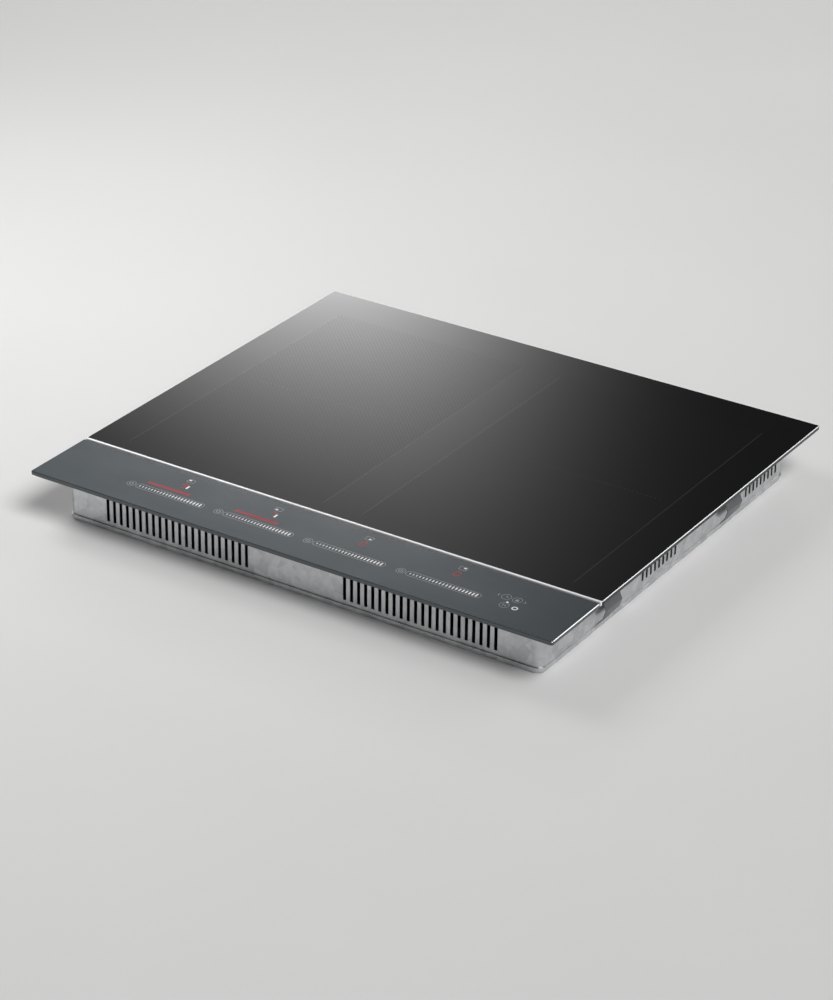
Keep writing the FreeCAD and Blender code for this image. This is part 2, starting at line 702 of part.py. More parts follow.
# ---- boards ----
def board_carrier(screws):
    """Plastic sheet on the tray floor with board standoffs and spring posts."""
    z = (TRAY_FLOOR_Z, CARRIER_TOP_Z)
    sheet = plate(deck_x(centred(CARRIER_HALF_WIDTH)), CARRIER_Y, z, CARRIER_CORNER)
    fan_gap = FAN_HALF + CARRIER_PART_GAP
    fan_hole = block(deck_x(centred(fan_gap)), around(FAN_CENTRE_Y, 2 * fan_gap), z)
    box_x = (0.0, BOX_X[1] + CARRIER_PART_GAP)
    box_hole = block(box_x, (BOX_FRONT_Y - CARRIER_PART_GAP, CARRIER_Y[1]), z)
    sheet = sheet.cut(fan_hole).cut(box_hole)
    pillars = []
    for x in STANDOFF_X:
        for y in STANDOFF_Y:
            foot = V(DECK_CENTRE_X + x, y, TRAY_FLOOR_Z)
            pillars.append(rod(foot, STANDOFF_RADIUS, BOARD_BOTTOM_Z - TRAY_FLOOR_Z))
    for x, y in POST_POSITIONS:
        foot = V(DECK_CENTRE_X + x, y, TRAY_FLOOR_Z)
        pillars.append(rod(foot, POST_RADIUS, POST_TOP_Z - TRAY_FLOOR_Z))
        pillars.append(rod(foot, POST_STUB_RADIUS, POST_TOP_Z + POST_STUB_HEIGHT - TRAY_FLOOR_Z))
    return joined([sheet] + pillars).cut(screws)


def board_screws():
    return group([screw(V(DECK_CENTRE_X + x, y, BOARD_TOP_Z), UP) for x in STANDOFF_X for y in STANDOFF_Y])


def power_board(screws):
    return block(deck_x(centred(BOARD_HALF_WIDTH)), BOARD_Y, (BOARD_BOTTOM_Z, BOARD_TOP_Z)).cut(screws)


def heat_sink():
    x = deck_x(SINK_X)
    solid = [block(x, SINK_Y, (BOARD_TOP_Z, BOARD_TOP_Z + SINK_BASE))]
    pitch = (x[1] - x[0] - SINK_FIN) / (SINK_FIN_COUNT - 1)
    for index in range(SINK_FIN_COUNT):
        start = x[0] + index * pitch
        solid.append(block((start, start + SINK_FIN), SINK_Y, (BOARD_TOP_Z, SINK_TOP_Z)))
    return joined(solid)


def both_sides(right_solids):
    right = group(right_solids)
    return group(right.Solids + mirrored(right).Solids)


def power_semiconductors():
    start = DECK_CENTRE_X + SINK_X[1]
    x = (start, start + CHIP_SIZE[0])
    z = (BOARD_TOP_Z, BOARD_TOP_Z + CHIP_SIZE[2])
    return both_sides([block(x, around(y, CHIP_SIZE[1]), z) for y in CHIP_ROW_Y])


def film_capacitors():
    x = around(DECK_CENTRE_X + CAPACITOR_ROW_X, CAPACITOR_SIZE[0])
    z = (BOARD_TOP_Z, BOARD_TOP_Z + CAPACITOR_SIZE[2])
    bodies = [plate(x, around(y, CAPACITOR_SIZE[1]), z, CAPACITOR_CORNER) for y in CAPACITOR_ROW_Y]
    return both_sides(bodies)


def board_chokes():
    rings = []
    for y in CHOKE_ROW_Y:
        foot = V(DECK_CENTRE_X + CHOKE_X, y, BOARD_TOP_Z)
        ring = rod(foot, CHOKE_RADIUS, CHOKE_HEIGHT).cut(rod(foot, CHOKE_HOLE_RADIUS, CHOKE_HEIGHT))
        rings.append(ring.makeFillet(CHOKE_EDGE_ROUND, edges_at_height(ring, BOARD_TOP_Z + CHOKE_HEIGHT)))
    return both_sides(rings)


# ---- fans ----
def fan_housing():
    """Blower shell: round chamber, inlet in its floor, outlet forward over the heat sink."""
    x = deck_x(centred(FAN_HALF))
    y = around(FAN_CENTRE_Y, 2 * FAN_HALF)
    shell = plate(x, y, (TRAY_FLOOR_Z, FAN_TOP_Z), FAN_CORNER)
    centre = V(DECK_CENTRE_X, FAN_CENTRE_Y, TRAY_FLOOR_Z + FAN_WALL)
    chamber = rod(centre, FAN_CHAMBER_RADIUS, CHAMBER_TOP_Z - centre.z)
    outlet = block((DECK_CENTRE_X, DECK_CENTRE_X + FAN_CHAMBER_RADIUS), (y[0], FAN_CENTRE_Y),
                   (centre.z, CHAMBER_TOP_Z))
    inlet = rod(V(DECK_CENTRE_X, FAN_CENTRE_Y, TRAY_FLOOR_Z), FAN_INLET_RADIUS, FAN_WALL)
    stub = rod(V(DECK_CENTRE_X, FAN_CENTRE_Y, CHAMBER_TOP_Z - FAN_STUB_DROP), FAN_STUB_RADIUS,
               FAN_STUB_DROP)
    return shell.cut(chamber).cut(outlet).cut(inlet).fuse(stub)


def impeller_blade(z):
    """Thin curved blade between the inner and the outer radius."""
    def corner(radius, degrees):
        return on_circle(radius, math.radians(degrees), z[0])
    middle_radius = (IMPELLER_INNER_RADIUS + IMPELLER_RADIUS) / 2
    width = math.degrees(BLADE_THICK / middle_radius)
    sweep = BLADE_SWEEP_DEGREES
    bend = BLADE_MIDDLE_SHARE * sweep
    front = Part.Arc(corner(IMPELLER_INNER_RADIUS, 0), corner(middle_radius, bend),
                     corner(IMPELLER_RADIUS, sweep)).toShape()
    tip = Part.makeLine(corner(IMPELLER_RADIUS, sweep), corner(IMPELLER_RADIUS, sweep + width))
    back = Part.Arc(corner(IMPELLER_RADIUS, sweep + width), corner(middle_radius, bend + width),
                    corner(IMPELLER_INNER_RADIUS, width)).toShape()
    root = Part.makeLine(corner(IMPELLER_INNER_RADIUS, width), corner(IMPELLER_INNER_RADIUS, 0))
    return Part.Face(Part.Wire([front, tip, back, root])).extrude(V(0, 0, z[1] - z[0]))


def impeller():
    """Blower wheel: top disc with a hub cup, curved blades and a bottom ring."""
    top = CHAMBER_TOP_Z - IMPELLER_GAP
    bottom = TRAY_FLOOR_Z + FAN_WALL + IMPELLER_GAP
    disc = rod(V(0, 0, top - IMPELLER_DISC), IMPELLER_RADIUS, IMPELLER_DISC)
    hub = rod(V(0, 0, top - IMPELLER_HUB_DROP), IMPELLER_HUB_RADIUS, IMPELLER_HUB_DROP)
    cup_depth = IMPELLER_HUB_DROP - IMPELLER_DISC
    bore = rod(V(0, 0, top - cup_depth), IMPELLER_HUB_BORE, cup_depth)
    ring = rod(V(0, 0, bottom), IMPELLER_RADIUS, IMPELLER_DISC)
    ring = ring.cut(rod(V(0, 0, bottom), IMPELLER_INNER_RADIUS, IMPELLER_DISC))
    blade = impeller_blade((bottom, top))
    solids = [disc, hub, ring]
    for index in range(IMPELLER_BLADES):
        turned = blade.copy()
        turned.rotate(V(0, 0, 0), UP, index * 360.0 / IMPELLER_BLADES)
        solids.append(turned)
    wheel = joined(solids).cut(bore)
    return wheel.translated(V(DECK_CENTRE_X, FAN_CENTRE_Y, 0))


# ---- touch controls ----
def control_carrier():
    """Long open plastic tray with rests for the touch board."""
    wall = CARRIER_UI_WALL
    x, y, z = CARRIER_UI_X, CARRIER_UI_Y, CARRIER_UI_Z
    body = block(x, y, z)
    inside = block((x[0] + wall, x[1] - wall), (y[0] + wall, y[1] - wall), (z[0] + wall, z[1]))
    body = body.cut(inside)
    rests = []
    step = (x[1] - x[0]) / TOUCH_REST_COUNT
    for index in range(TOUCH_REST_COUNT):
        centre = x[0] + (index + 0.5) * step
        rests.append(block(around(centre, TOUCH_REST_SIZE), y, (z[0], TOUCH_BOARD_Z[0])))
    return joined([body] + rests)


def touch_board():
    margin = CARRIER_UI_WALL + TOUCH_BOARD_MARGIN
    x = (CARRIER_UI_X[0] + margin, CARRIER_UI_X[1] - margin)
    y = (CARRIER_UI_Y[0] + margin, CARRIER_UI_Y[1] - margin)
    return block(x, y, TOUCH_BOARD_Z)


def touch_pads():
    """Sprung keys that reach up to the underside of the control glass."""
    z = (TOUCH_BOARD_Z[1], GLASS_BOTTOM_Z - PAD_TOP_GAP)
    centres = list(FUNCTION_KEYS_X)
    step = SLIDER_LENGTH / SLIDER_PADS
    for start in SLIDER_STARTS_X:
        centres.append(start + POWER_KEY_OFFSET)
        centres += [start + (index + 0.5) * step for index in range(SLIDER_PADS)]
    y = around(PAD_ROW_Y, KEY_PAD_SIZE[1])
    return group([block(around(x, KEY_PAD_SIZE[0]), y, z) for x in centres])


def display_modules():
    z = (TOUCH_BOARD_Z[1], GLASS_BOTTOM_Z - PAD_TOP_GAP)
    y = around(DISPLAY_ROW_Y, DISPLAY_SIZE[1])
    centres = [start + DISPLAY_OFFSET for start in SLIDER_STARTS_X]
    return group([block(around(x, DISPLAY_SIZE[0]), y, z) for x in centres])


def ribbon_cable():
    """Flat cable from the control carrier down to the right power board."""
    t = RIBBON_THICK
    outline = [
        (RIBBON_TOP_Y, CARRIER_UI_Z[0]),
        (RIBBON_TOP_Y, RIBBON_RUN_Z),
        (RIBBON_END_Y, RIBBON_RUN_Z),
        (RIBBON_END_Y, BOARD_TOP_Z),
        (RIBBON_END_Y + t, BOARD_TOP_Z),
        (RIBBON_END_Y + t, RIBBON_RUN_Z + t),
        (RIBBON_TOP_Y + t, RIBBON_RUN_Z + t),
        (RIBBON_TOP_Y + t, CARRIER_UI_Z[0]),
    ]
    return profile_along_x(outline, RIBBON_X)


# ---- mains terminal ----
def terminal_box():
    """Plastic chamber behind the rear wall, open to the rear, with a slot for the leads."""
    wall = BOX_WALL
    y = (BOX_FRONT_Y, SKIRT_HALF_Y)
    body = block(BOX_X, y, BOX_Z)
    inside_x = (BOX_X[0] + wall, BOX_X[1] - wall)
    inside_z = (BOX_Z[0] + wall, BOX_Z[1] - wall)
    inside = block(inside_x, (y[0] + wall, y[1]), inside_z)
    lead_slot = block(BLOCK_X, (y[0], y[0] + wall), around(sum(BLOCK_Z) / 2, LEAD_SLOT_HEIGHT))
    pedestal = block(BLOCK_X, BLOCK_Y, (BOX_Z[0] + wall, BLOCK_Z[0]))
    return body.cut(inside).cut(lead_slot).fuse(pedestal)


def way_centres():
    pitch = (BLOCK_X[1] - BLOCK_X[0]) / BLOCK_WAYS
    return [BLOCK_X[0] + (index + 0.5) * pitch for index in range(BLOCK_WAYS)]


def terminal_screws():
    """Slotted clamp screws that face the rear."""
    height = BLOCK_Z[1] - BLOCK_SCREW_DROP
    solids = []
    for x in way_centres():
        seat = V(x, BLOCK_Y[1] - BLOCK_SCREW_DEPTH, height)
        body = rod(seat, BLOCK_SCREW_RADIUS, BLOCK_SCREW_DEPTH, V(0, 1, 0))
        slot_x = around(x, 2 * BLOCK_SCREW_RADIUS)
        slot = block(slot_x, (BLOCK_Y[1] - RECESS_DEPTH, BLOCK_Y[1]), around(height, RECESS_WIDTH))
        solids.append(body.cut(slot))
    return group(solids)


def terminal_block():
    """Five-way moulded block with cable entries at the rear and clamp screws above them."""
    body = block(BLOCK_X, BLOCK_Y, BLOCK_Z)
    entry_z = BLOCK_Z[0] + 2 * BLOCK_ENTRY_RADIUS
    screw_z = BLOCK_Z[1] - BLOCK_SCREW_DROP
    for x in way_centres():
        entry = rod(V(x, BLOCK_Y[1] - BLOCK_SCREW_DEPTH, entry_z), BLOCK_ENTRY_RADIUS, BLOCK_SCREW_DEPTH,
                    V(0, 1, 0))
        bore = rod(V(x, BLOCK_Y[1] - BLOCK_SCREW_DEPTH, screw_z), BLOCK_SCREW_RADIUS, BLOCK_SCREW_DEPTH,
                   V(0, 1, 0))
        body = body.cut(entry).cut(bore)
    return body


def terminal_cover():
    """Hinged lid over the terminal opening, hanging from its top edge."""
    inner_y = TRAY_HALF_Y + COVER_GAP
    outer_y = inner_y + COVER_THICK
    lid = block(COVER_X, (inner_y, outer_y), COVER_Z)
    solids = [lid]
    for x in COVER_RIB_X:
        rib_y = (outer_y, outer_y + COVER_RIB_SIZE[1])
        rib_z = (COVER_Z[0] + COVER_CORNER, COVER_Z[1] - 2 * COVER_CORNER)
        solids.append(block(around(x, COVER_RIB_SIZE[0]), rib_y, rib_z))
    for index in range(1, HINGE_SLICE_COUNT, 2):
        x = hinge_slice(index)
        arm = block(x, (inner_y + COVER_ARM_LAP, outer_y), (COVER_Z[1] - COVER_ARM_LAP, HINGE_Z))
        solids.append(arm.fuse(knuckle(x)))
    bore = rod(V(COVER_X[0], HINGE_Y, HINGE_Z), HINGE_PIN_RADIUS + HINGE_BORE_GAP, COVER_X[1] - COVER_X[0],
               V(1, 0, 0))
    return joined(solids).cut(bore)


def cable_bush():
    """Flanged rubber bush in the rear wall with an open bore."""
    back = V(0, 1, 0)
    start_y = TRAY_HALF_Y + BUSH_FLANGE_THICK - BUSH_LENGTH
    body = rod(V(BUSH_X, start_y, BUSH_Z), BUSH_BODY_RADIUS, BUSH_LENGTH, back)
    flange = rod(V(BUSH_X, TRAY_HALF_Y, BUSH_Z), BUSH_FLANGE_RADIUS, BUSH_FLANGE_THICK, back)
    bore = rod(V(BUSH_X, start_y, BUSH_Z), BUSH_BORE_RADIUS, BUSH_LENGTH, back)
    return body.fuse(flange).removeSplitter().cut(bore)


def cable_clamp():
    """Saddle on the chamber floor that surrounds the cable path."""
    floor_z = BOX_Z[0] + BOX_WALL
    body = block(around(BUSH_X, 2 * CLAMP_HALF_WIDTH), CLAMP_Y, (floor_z, CLAMP_TOP_Z))
    length = CLAMP_Y[1] - CLAMP_Y[0]
    path = rod(V(BUSH_X, CLAMP_Y[0], BUSH_Z), BUSH_BORE_RADIUS + CLAMP_CABLE_GAP, length, V(0, 1, 0))
    return body.cut(path)


def mains_leads():
    """Leads from the terminal block forward to both power boards."""
    z = sum(BLOCK_Z) / 2
    leads = []
    for side, ways in ((-1, way_centres()[:2]), (1, way_centres()[3:])):
        for index, x in enumerate(ways):
            land_x = side * (MAINS_LAND_X + MAINS_LAND_PITCH * index)
            path = [V(x, BLOCK_Y[0], z), V(land_x, MAINS_LAND_Y, BOARD_TOP_Z)]
            path.insert(1, V((x + land_x) / 2, (BLOCK_Y[0] + MAINS_LAND_Y) / 2, z))
            leads.append(soft_wire(path, V(0, -1, 0), V(0, 0, -1), MAINS_LEAD_RADIUS))
    return group(leads)


# ---- write every node ----
screws = case_screws()
right_board_screws = board_screws()
write_node("cooking_glass", cooking_glass())
write_node("control_glass", control_glass())
write_node("trim_strip", trim_strip())
write_node("worktop_seal", worktop_seal())
write_node("glass_frame", glass_frame(screws))
write_node("base_tray", base_tray(screws))
write_node("case_screws", screws)
write_node("rating_plate", rating_plate())
write_node("clip_brackets", clip_brackets(screws))
for place in CLIP_CENTRES_Y:
    write_node("clip_right_" + place, clip(place))
    write_node("clip_left_" + place, mirrored(clip(place)))
for place in COIL_CENTRES_Y:
    write_node("winding_right_" + place, at_coil(winding(), place))
    write_node("winding_left_" + place, mirrored(at_coil(winding(), place)))
    write_node("coil_former_right_" + place, at_coil(coil_former(), place))
    write_node("coil_former_left_" + place, mirrored(at_coil(coil_former(), place)))
write_pair("ferrite_bars", ferrite_bars())
write_pair("glass_pads", glass_pads())
write_pair("heat_sensors", heat_sensors())
write_pair("coil_plate", coil_plate())
write_pair("coil_leads", coil_leads())
write_pair("plate_springs", plate_springs())
write_pair("board_carrier", board_carrier(right_board_screws))
write_pair("power_board", power_board(right_board_screws))
write_pair("heat_sink", heat_sink())
write_pair("fan_housing", fan_housing())
write_pair("impeller", impeller())
write_node("board_screws", both_sides(right_board_screws.Solids))
write_node("power_semiconductors", power_semiconductors())
write_node("film_capacitors", film_capacitors())
write_node("board_chokes", board_chokes())
write_node("control_carrier", control_carrier())
write_node("touch_board", touch_board())
write_node("touch_pads", touch_pads())
write_node("display_modules", display_modules())
write_node("ribbon_cable", ribbon_cable())
write_node("terminal_box", terminal_box())
write_node("terminal_block", terminal_block())
write_node("terminal_screws", terminal_screws())
write_node("terminal_cover", terminal_cover())
write_node("cover_hinge_pin", hinge_pin())
write_node("cable_bush", cable_bush())
write_node("cable_clamp", cable_clamp())
write_node("mains_leads", mains_leads())
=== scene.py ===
import bmesh
import bpy
import math
from mathutils import Matrix, Vector


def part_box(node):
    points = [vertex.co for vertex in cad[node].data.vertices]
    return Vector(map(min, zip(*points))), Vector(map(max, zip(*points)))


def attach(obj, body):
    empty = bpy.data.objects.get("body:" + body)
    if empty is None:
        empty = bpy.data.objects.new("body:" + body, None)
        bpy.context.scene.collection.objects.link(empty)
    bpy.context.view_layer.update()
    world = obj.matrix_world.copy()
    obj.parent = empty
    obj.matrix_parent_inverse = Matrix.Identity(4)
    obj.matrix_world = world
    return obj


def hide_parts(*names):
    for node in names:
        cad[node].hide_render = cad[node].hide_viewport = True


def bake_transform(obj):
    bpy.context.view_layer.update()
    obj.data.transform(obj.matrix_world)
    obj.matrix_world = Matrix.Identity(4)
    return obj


# Looks of a built-in induction hob.  Metres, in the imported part's own frame.

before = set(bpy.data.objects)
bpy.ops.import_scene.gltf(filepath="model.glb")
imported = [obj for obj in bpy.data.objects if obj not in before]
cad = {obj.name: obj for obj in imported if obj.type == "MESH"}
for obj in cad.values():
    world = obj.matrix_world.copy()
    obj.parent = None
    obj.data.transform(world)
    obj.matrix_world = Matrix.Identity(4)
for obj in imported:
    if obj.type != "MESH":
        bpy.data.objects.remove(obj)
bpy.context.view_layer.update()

# ---- places taken from the frame ----
GLASS_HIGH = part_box("cooking_glass")[1]
GLASS_TOP = GLASS_HIGH.z
CONTROL_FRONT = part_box("control_glass")[0].y
FLOOR_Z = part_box("base_tray")[0].z

# ---- glass: one colour ramp runs from the body, below BODY_STOP, to the ground bevel ----
GLASS_IOR = 1.5
GLASS_BEVEL = 0.0006
GROUND_GLASS = (0.58, 0.60, 0.61)
BEVEL_LIFT = 0.9
BODY_STOP = 0.35

# ---- cooking zones of the right half; the left half is mirrored ----
ZONE_INNER_X = 0.0225
ZONE_OUTER_X = 0.2595
ZONE_FRONT_Y = -0.159
ZONE_BACK_Y = 0.2146
ZONE_SPLIT_Y = 0.0307
ZONE_LINE_WIDTH = 0.0008
ZONE_DOT_PITCH = 0.0050
ZONE_DOT_EDGE = (0.1, 0.3)
SPLIT_DASH = (0.0020, 0.0008)
SPLIT_PITCH = 0.0050
SPLIT_INSET = 0.012

# ---- printed controls: y is measured from the front edge of the glass ----
INK_HEIGHT = 0.00004
MITRE_LIMIT = 0.35
FINE_LINE = 0.00042
BOLD_LINE = 0.00065
SLIDER_FIRST_X = -0.1950
SLIDER_PITCH = 0.1053
SLIDER_COUNT = 4
SLIDER_Y = CONTROL_FRONT + 0.0345
SLIDER_LENGTH = 0.0815
SLIDER_HEIGHT = 0.0086
TICK_COUNT = 21
TICK_WIDTHS = (0.0008, 0.0016)
TICK_LENGTHS = (0.0028, 0.0052)
POWER_OFFSET = -0.0062
POWER_RING_RADIUS = 0.0046
POWER_GLYPH_RADIUS = 0.0021
POWER_GLYPH_ARC = (125.0, 415.0)
POWER_BAR_RISE = 0.7
LIT_BAR_Y = CONTROL_FRONT + 0.0456
LIT_BAR_OFFSET = 0.0058
LIT_DASH_COUNT = 12
LIT_DASH_PITCH = 0.0042
LIT_DASH = (0.0036, 0.0040)
LIT_SLIDERS = (0, 1)
DIGIT_OFFSET = 0.0405
DIGIT_Y = CONTROL_FRONT + 0.0590
DIGIT_SIZE = (0.0050, 0.0088)
DIGIT_LINE = 0.0012
DIGIT_VALUES = (9, 7, 0, 0)
DIGIT_SEGMENTS = {0: "abcdef", 7: "abc", 9: "abcdfg"}
POINTER_OFFSET = (0.0045, -0.0012)
POINTER_SIZE = (0.0018, 0.0060)
ICON_OFFSET = 0.0400
ICON_Y = CONTROL_FRONT + 0.0704
ICON_SIZE = (0.0078, 0.0062)
ICON_CORNER = 0.0009
ICON_QUARTERS = ((-1, 1), (-1, -1), (1, -1), (1, 1))
ICON_QUARTER_SHIFT = 0.2
ICON_QUARTER_SHARE = 1 / 3

# ---- function keys at the right end ----
KEY_RADIUS = 0.0047
KEY_TIMER = (0.2225, CONTROL_FRONT + 0.0474)
KEY_LOCK = (0.2342, CONTROL_FRONT + 0.0474)
KEY_PAUSE = (0.2286, CONTROL_FRONT + 0.0331)
KEY_MAIN = (0.2400, CONTROL_FRONT + 0.0331)
KEY_MAIN_RADIUS = 0.0025
KEY_MAIN_LINE = 0.0013
KEY_LAMP = (0.2284, CONTROL_FRONT + 0.0393)
KEY_LAMP_RADIUS = 0.0012
KEY_ARROW_X = (0.2150, 0.2417)
KEY_ARROW_REACH = 0.0016

# ---- blank grid on the rating plate ----
PLATE_LOW, PLATE_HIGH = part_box("rating_plate")
PLATE_ROWS = 5
PLATE_COLUMNS = 4
PLATE_MARGIN = 0.0022
PLATE_LINE = 0.0003

# ---- springs and leads between the case and the right coil deck; the left side is mirrored ----
SPRING_PLACES = ((0.040, -0.150), (0.242, -0.150), (0.075, 0.205), (0.242, 0.205))
SPRING_COIL_RADIUS = 0.0050
SPRING_WIRE_RADIUS = 0.0006
SPRING_TURNS = 3.5
SPRING_STEPS = 84
LEAD_PLACES = ((0.121, -0.072), (0.121, -0.056), (0.121, 0.109), (0.107, 0.109))
LEAD_RADIUS = 0.0013
LEAD_STEPS = 12
WIRE_SIDES = 12

# ---- camera: the photograph's viewing angle ----
CAMERA_AZIMUTH = 32.86
CAMERA_ELEVATION = 27.62
CAMERA_ROLL = -0.61
CAMERA_AIM = Vector((0.0492, -0.1035, GLASS_TOP))
CAMERA_DISTANCE = 3.065
CAMERA_LENS = 113.6
CAMERA_REACH = 100.0

# ---- studio ----
FLOOR_HALF = 30.0
SUN_AZIMUTH = 70.0
SUN_ELEVATION = 52.0
SUN_STRENGTH = 2.7
SUN_SPREAD = math.radians(30.0)
SKY_HORIZON = 0.45
SKY_HIGH = 0.05
SKY_FADE = (0.02, 0.38)
SOFTBOXES = {
    "left_softbox": {"place": (-0.95, 0.10, 0.92), "half_size": 0.30, "strength": 5.0},
    "rear_softbox": {"place": (2.05, 3.30, 2.25), "half_size": 0.90, "strength": 2.6},
}

# ---- graded light card behind the hob, seen mirrored in the glass ----
CARD_DISTANCE = 5.0
CARD_HALF_WIDTH = 1.9
CARD_HEIGHTS = (1.55, 3.6)
CARD_PEAK = 6.0
CARD_PEAK_HEIGHT = 1.9
CARD_PEAK_SIDE = -0.256
CARD_LEAN = 0.196
CARD_SPREAD_LEFT = 0.465
CARD_SPREAD_RIGHT = 0.335
CARD_FADE_HEIGHT = 0.377


# ---------------------------------------------------------------- node helpers
class Nodes:
    """Small wrapper that makes shader nodes and links them in one call."""

    def __init__(self, tree):
        self.tree = tree

    def add(self, kind, inputs=None, **settings):
        node = self.tree.nodes.new(kind)
        for key, value in settings.items():
            setattr(node, key, value)
        for key, value in (inputs or {}).items():
            if isinstance(value, bpy.types.NodeSocket):
                self.tree.links.new(value, node.inputs[key])
            else:
                node.inputs[key].default_value = value
        return node

    def math(self, operation, first, second=None, third=None):
        inputs = {0: first}
        if second is not None:
            inputs[1] = second
        if third is not None:
            inputs[2] = third
        return self.add("ShaderNodeMath", inputs, operation=operation).outputs[0]

    def place(self, stretch=(1.0, 1.0, 1.0)):
        """Object coordinates, stretched along each axis."""
        coordinates = self.add("ShaderNodeTexCoord").outputs["Object"]
        return self.add("ShaderNodeMapping", {"Vector": coordinates, "Scale": stretch}).outputs[0]

    def position(self):
        """Object coordinates, split into X, Y and Z."""
        coordinates = self.add("ShaderNodeTexCoord").outputs["Object"]
        return self.add("ShaderNodeSeparateXYZ", {0: coordinates}).outputs

    def noise(self, vector, scale, detail=3.0, roughness=0.5):
        settings = {"Vector": vector, "Scale": scale, "Detail": detail, "Roughness": roughness}
        return self.add("ShaderNodeTexNoise", settings).outputs["Fac"]

    def spread(self, value, low, high, start=0.0, end=1.0):
        """Maps a value from start..end to low..high, held inside those limits."""
        settings = {"Value": value, "From Min": start, "From Max": end, "To Min": low, "To Max": high}
        return self.add("ShaderNodeMapRange", settings).outputs[0]

    def tint(self, factor, dark, light, middle=None):
        """Blends two colours by a factor; 'middle' adds a (place, colour) stop between them."""
        ramp = self.add("ShaderNodeValToRGB", {"Fac": factor})
        ramp.color_ramp.elements[0].color = (*dark, 1.0)
        ramp.color_ramp.elements[1].color = (*light, 1.0)
        if middle is not None:
            place, colour = middle
            ramp.color_ramp.elements.new(place).color = (*colour, 1.0)
        return ramp.outputs["Color"]

    def bump(self, height, distance, strength=1.0, normal=None):
        inputs = {"Height": height, "Distance": distance, "Strength": strength}
        if normal is not None:
            inputs["Normal"] = normal
        return self.add("ShaderNodeBump", inputs).outputs[0]


def new_material(name, **uniform):
    """Principled material with its plain values set on the shader's own sockets."""
    material = bpy.data.materials.new(name)
    material.use_nodes = True
    shader = material.node_tree.nodes["Principled BSDF"]
    for key, value in uniform.items():
        socket = shader.inputs[key.replace("_", " ")]
        socket.default_value = (*value, 1.0) if isinstance(value, tuple) and len(value) == 3 else value
    return material, Nodes(material.node_tree), shader


def link(nodes, shader, **outputs):
    """Links node outputs to the shader's sockets by name."""
    for key, output in outputs.items():
        nodes.tree.links.new(output, shader.inputs[key.replace("_", " ")])


# ---------------------------------------------------------------- materials
def bevel_mask(n, position):
    """One on the ground bevel round the outline of the glass top, zero elsewhere."""
    out_x = n.math("GREATER_THAN", n.math("ABSOLUTE", position["X"]), GLASS_HIGH.x - GLASS_BEVEL)
    out_back = n.math("GREATER_THAN", position["Y"], GLASS_HIGH.y - GLASS_BEVEL)
    out_front = n.math("LESS_THAN", position["Y"], CONTROL_FRONT + GLASS_BEVEL)
    outline = n.math("MAXIMUM", n.math("MAXIMUM", out_x, out_back), out_front)
    near_top = n.math("GREATER_THAN", position["Z"], GLASS_TOP - GLASS_BEVEL)
    return n.math("MULTIPLY", outline, near_top)


def zone_mask(n, position):
    """One inside the printed cooking zones, zero on the border and the middle band."""
    half_x = (ZONE_OUTER_X - ZONE_INNER_X) / 2
    half_y = (ZONE_BACK_Y - ZONE_FRONT_Y) / 2
    across = n.math("ABSOLUTE", position["X"])
    inside_x = n.math("COMPARE", across, ZONE_INNER_X + half_x, half_x)
    inside_y = n.math("COMPARE", position["Y"], ZONE_FRONT_Y + half_y, half_y)
    return n.math("MULTIPLY", inside_x, inside_y)


def zone_dots(n, position):
    """Staggered lattice of soft round dots inside the cooking zones."""
    turn = 2 * math.pi / ZONE_DOT_PITCH
    columns = n.math("SINE", n.math("MULTIPLY", position["X"], turn))
    rows = n.math("SINE", n.math("MULTIPLY", position["Y"], turn))
    lattice = n.spread(n.math("MULTIPLY", columns, rows), 0.0, 1.0, *ZONE_DOT_EDGE)
    return n.math("MULTIPLY", lattice, zone_mask(n, position))


def cooking_glass_material():
    """Polished black glass ceramic; the zones carry a matt dot pattern."""
    material, n, shader = new_material("black glass ceramic", IOR=GLASS_IOR)
    position = n.position()
    dots = zone_dots(n, position)
    bevel = bevel_mask(n, position)
    cloud = n.noise(n.place(), scale=14.0, detail=2.0)
    level = n.math("ADD", n.math("MULTIPLY", dots, 0.12), n.spread(cloud, 0.0, 0.1))
    level = n.math("ADD", level, n.math("MULTIPLY", bevel, BEVEL_LIFT))
    black = (BODY_STOP, (0.014, 0.014, 0.0145))
    colour = n.tint(level, (0.0092, 0.0092, 0.0096), GROUND_GLASS, middle=black)
    duller = n.tint(dots, (1.0, 1.0, 1.0), (0.62, 0.62, 0.62))
    smear = n.noise(n.place((1.0, 2.2, 1.0)), scale=9.0, detail=5.0, roughness=0.6)
    roughness = n.math("ADD", n.spread(smear, 0.03, 0.06, 0.35, 0.7), n.math("MULTIPLY", bevel, 0.2))
    ripple = n.noise(n.place(), scale=22.0, detail=1.0)
    link(n, shader, Base_Color=colour, Specular_Tint=duller, Roughness=roughness,
         Metallic=n.math("MULTIPLY", bevel, BEVEL_LIFT),
         Normal=n.bump(ripple, distance=0.00001, strength=0.25))
    return material


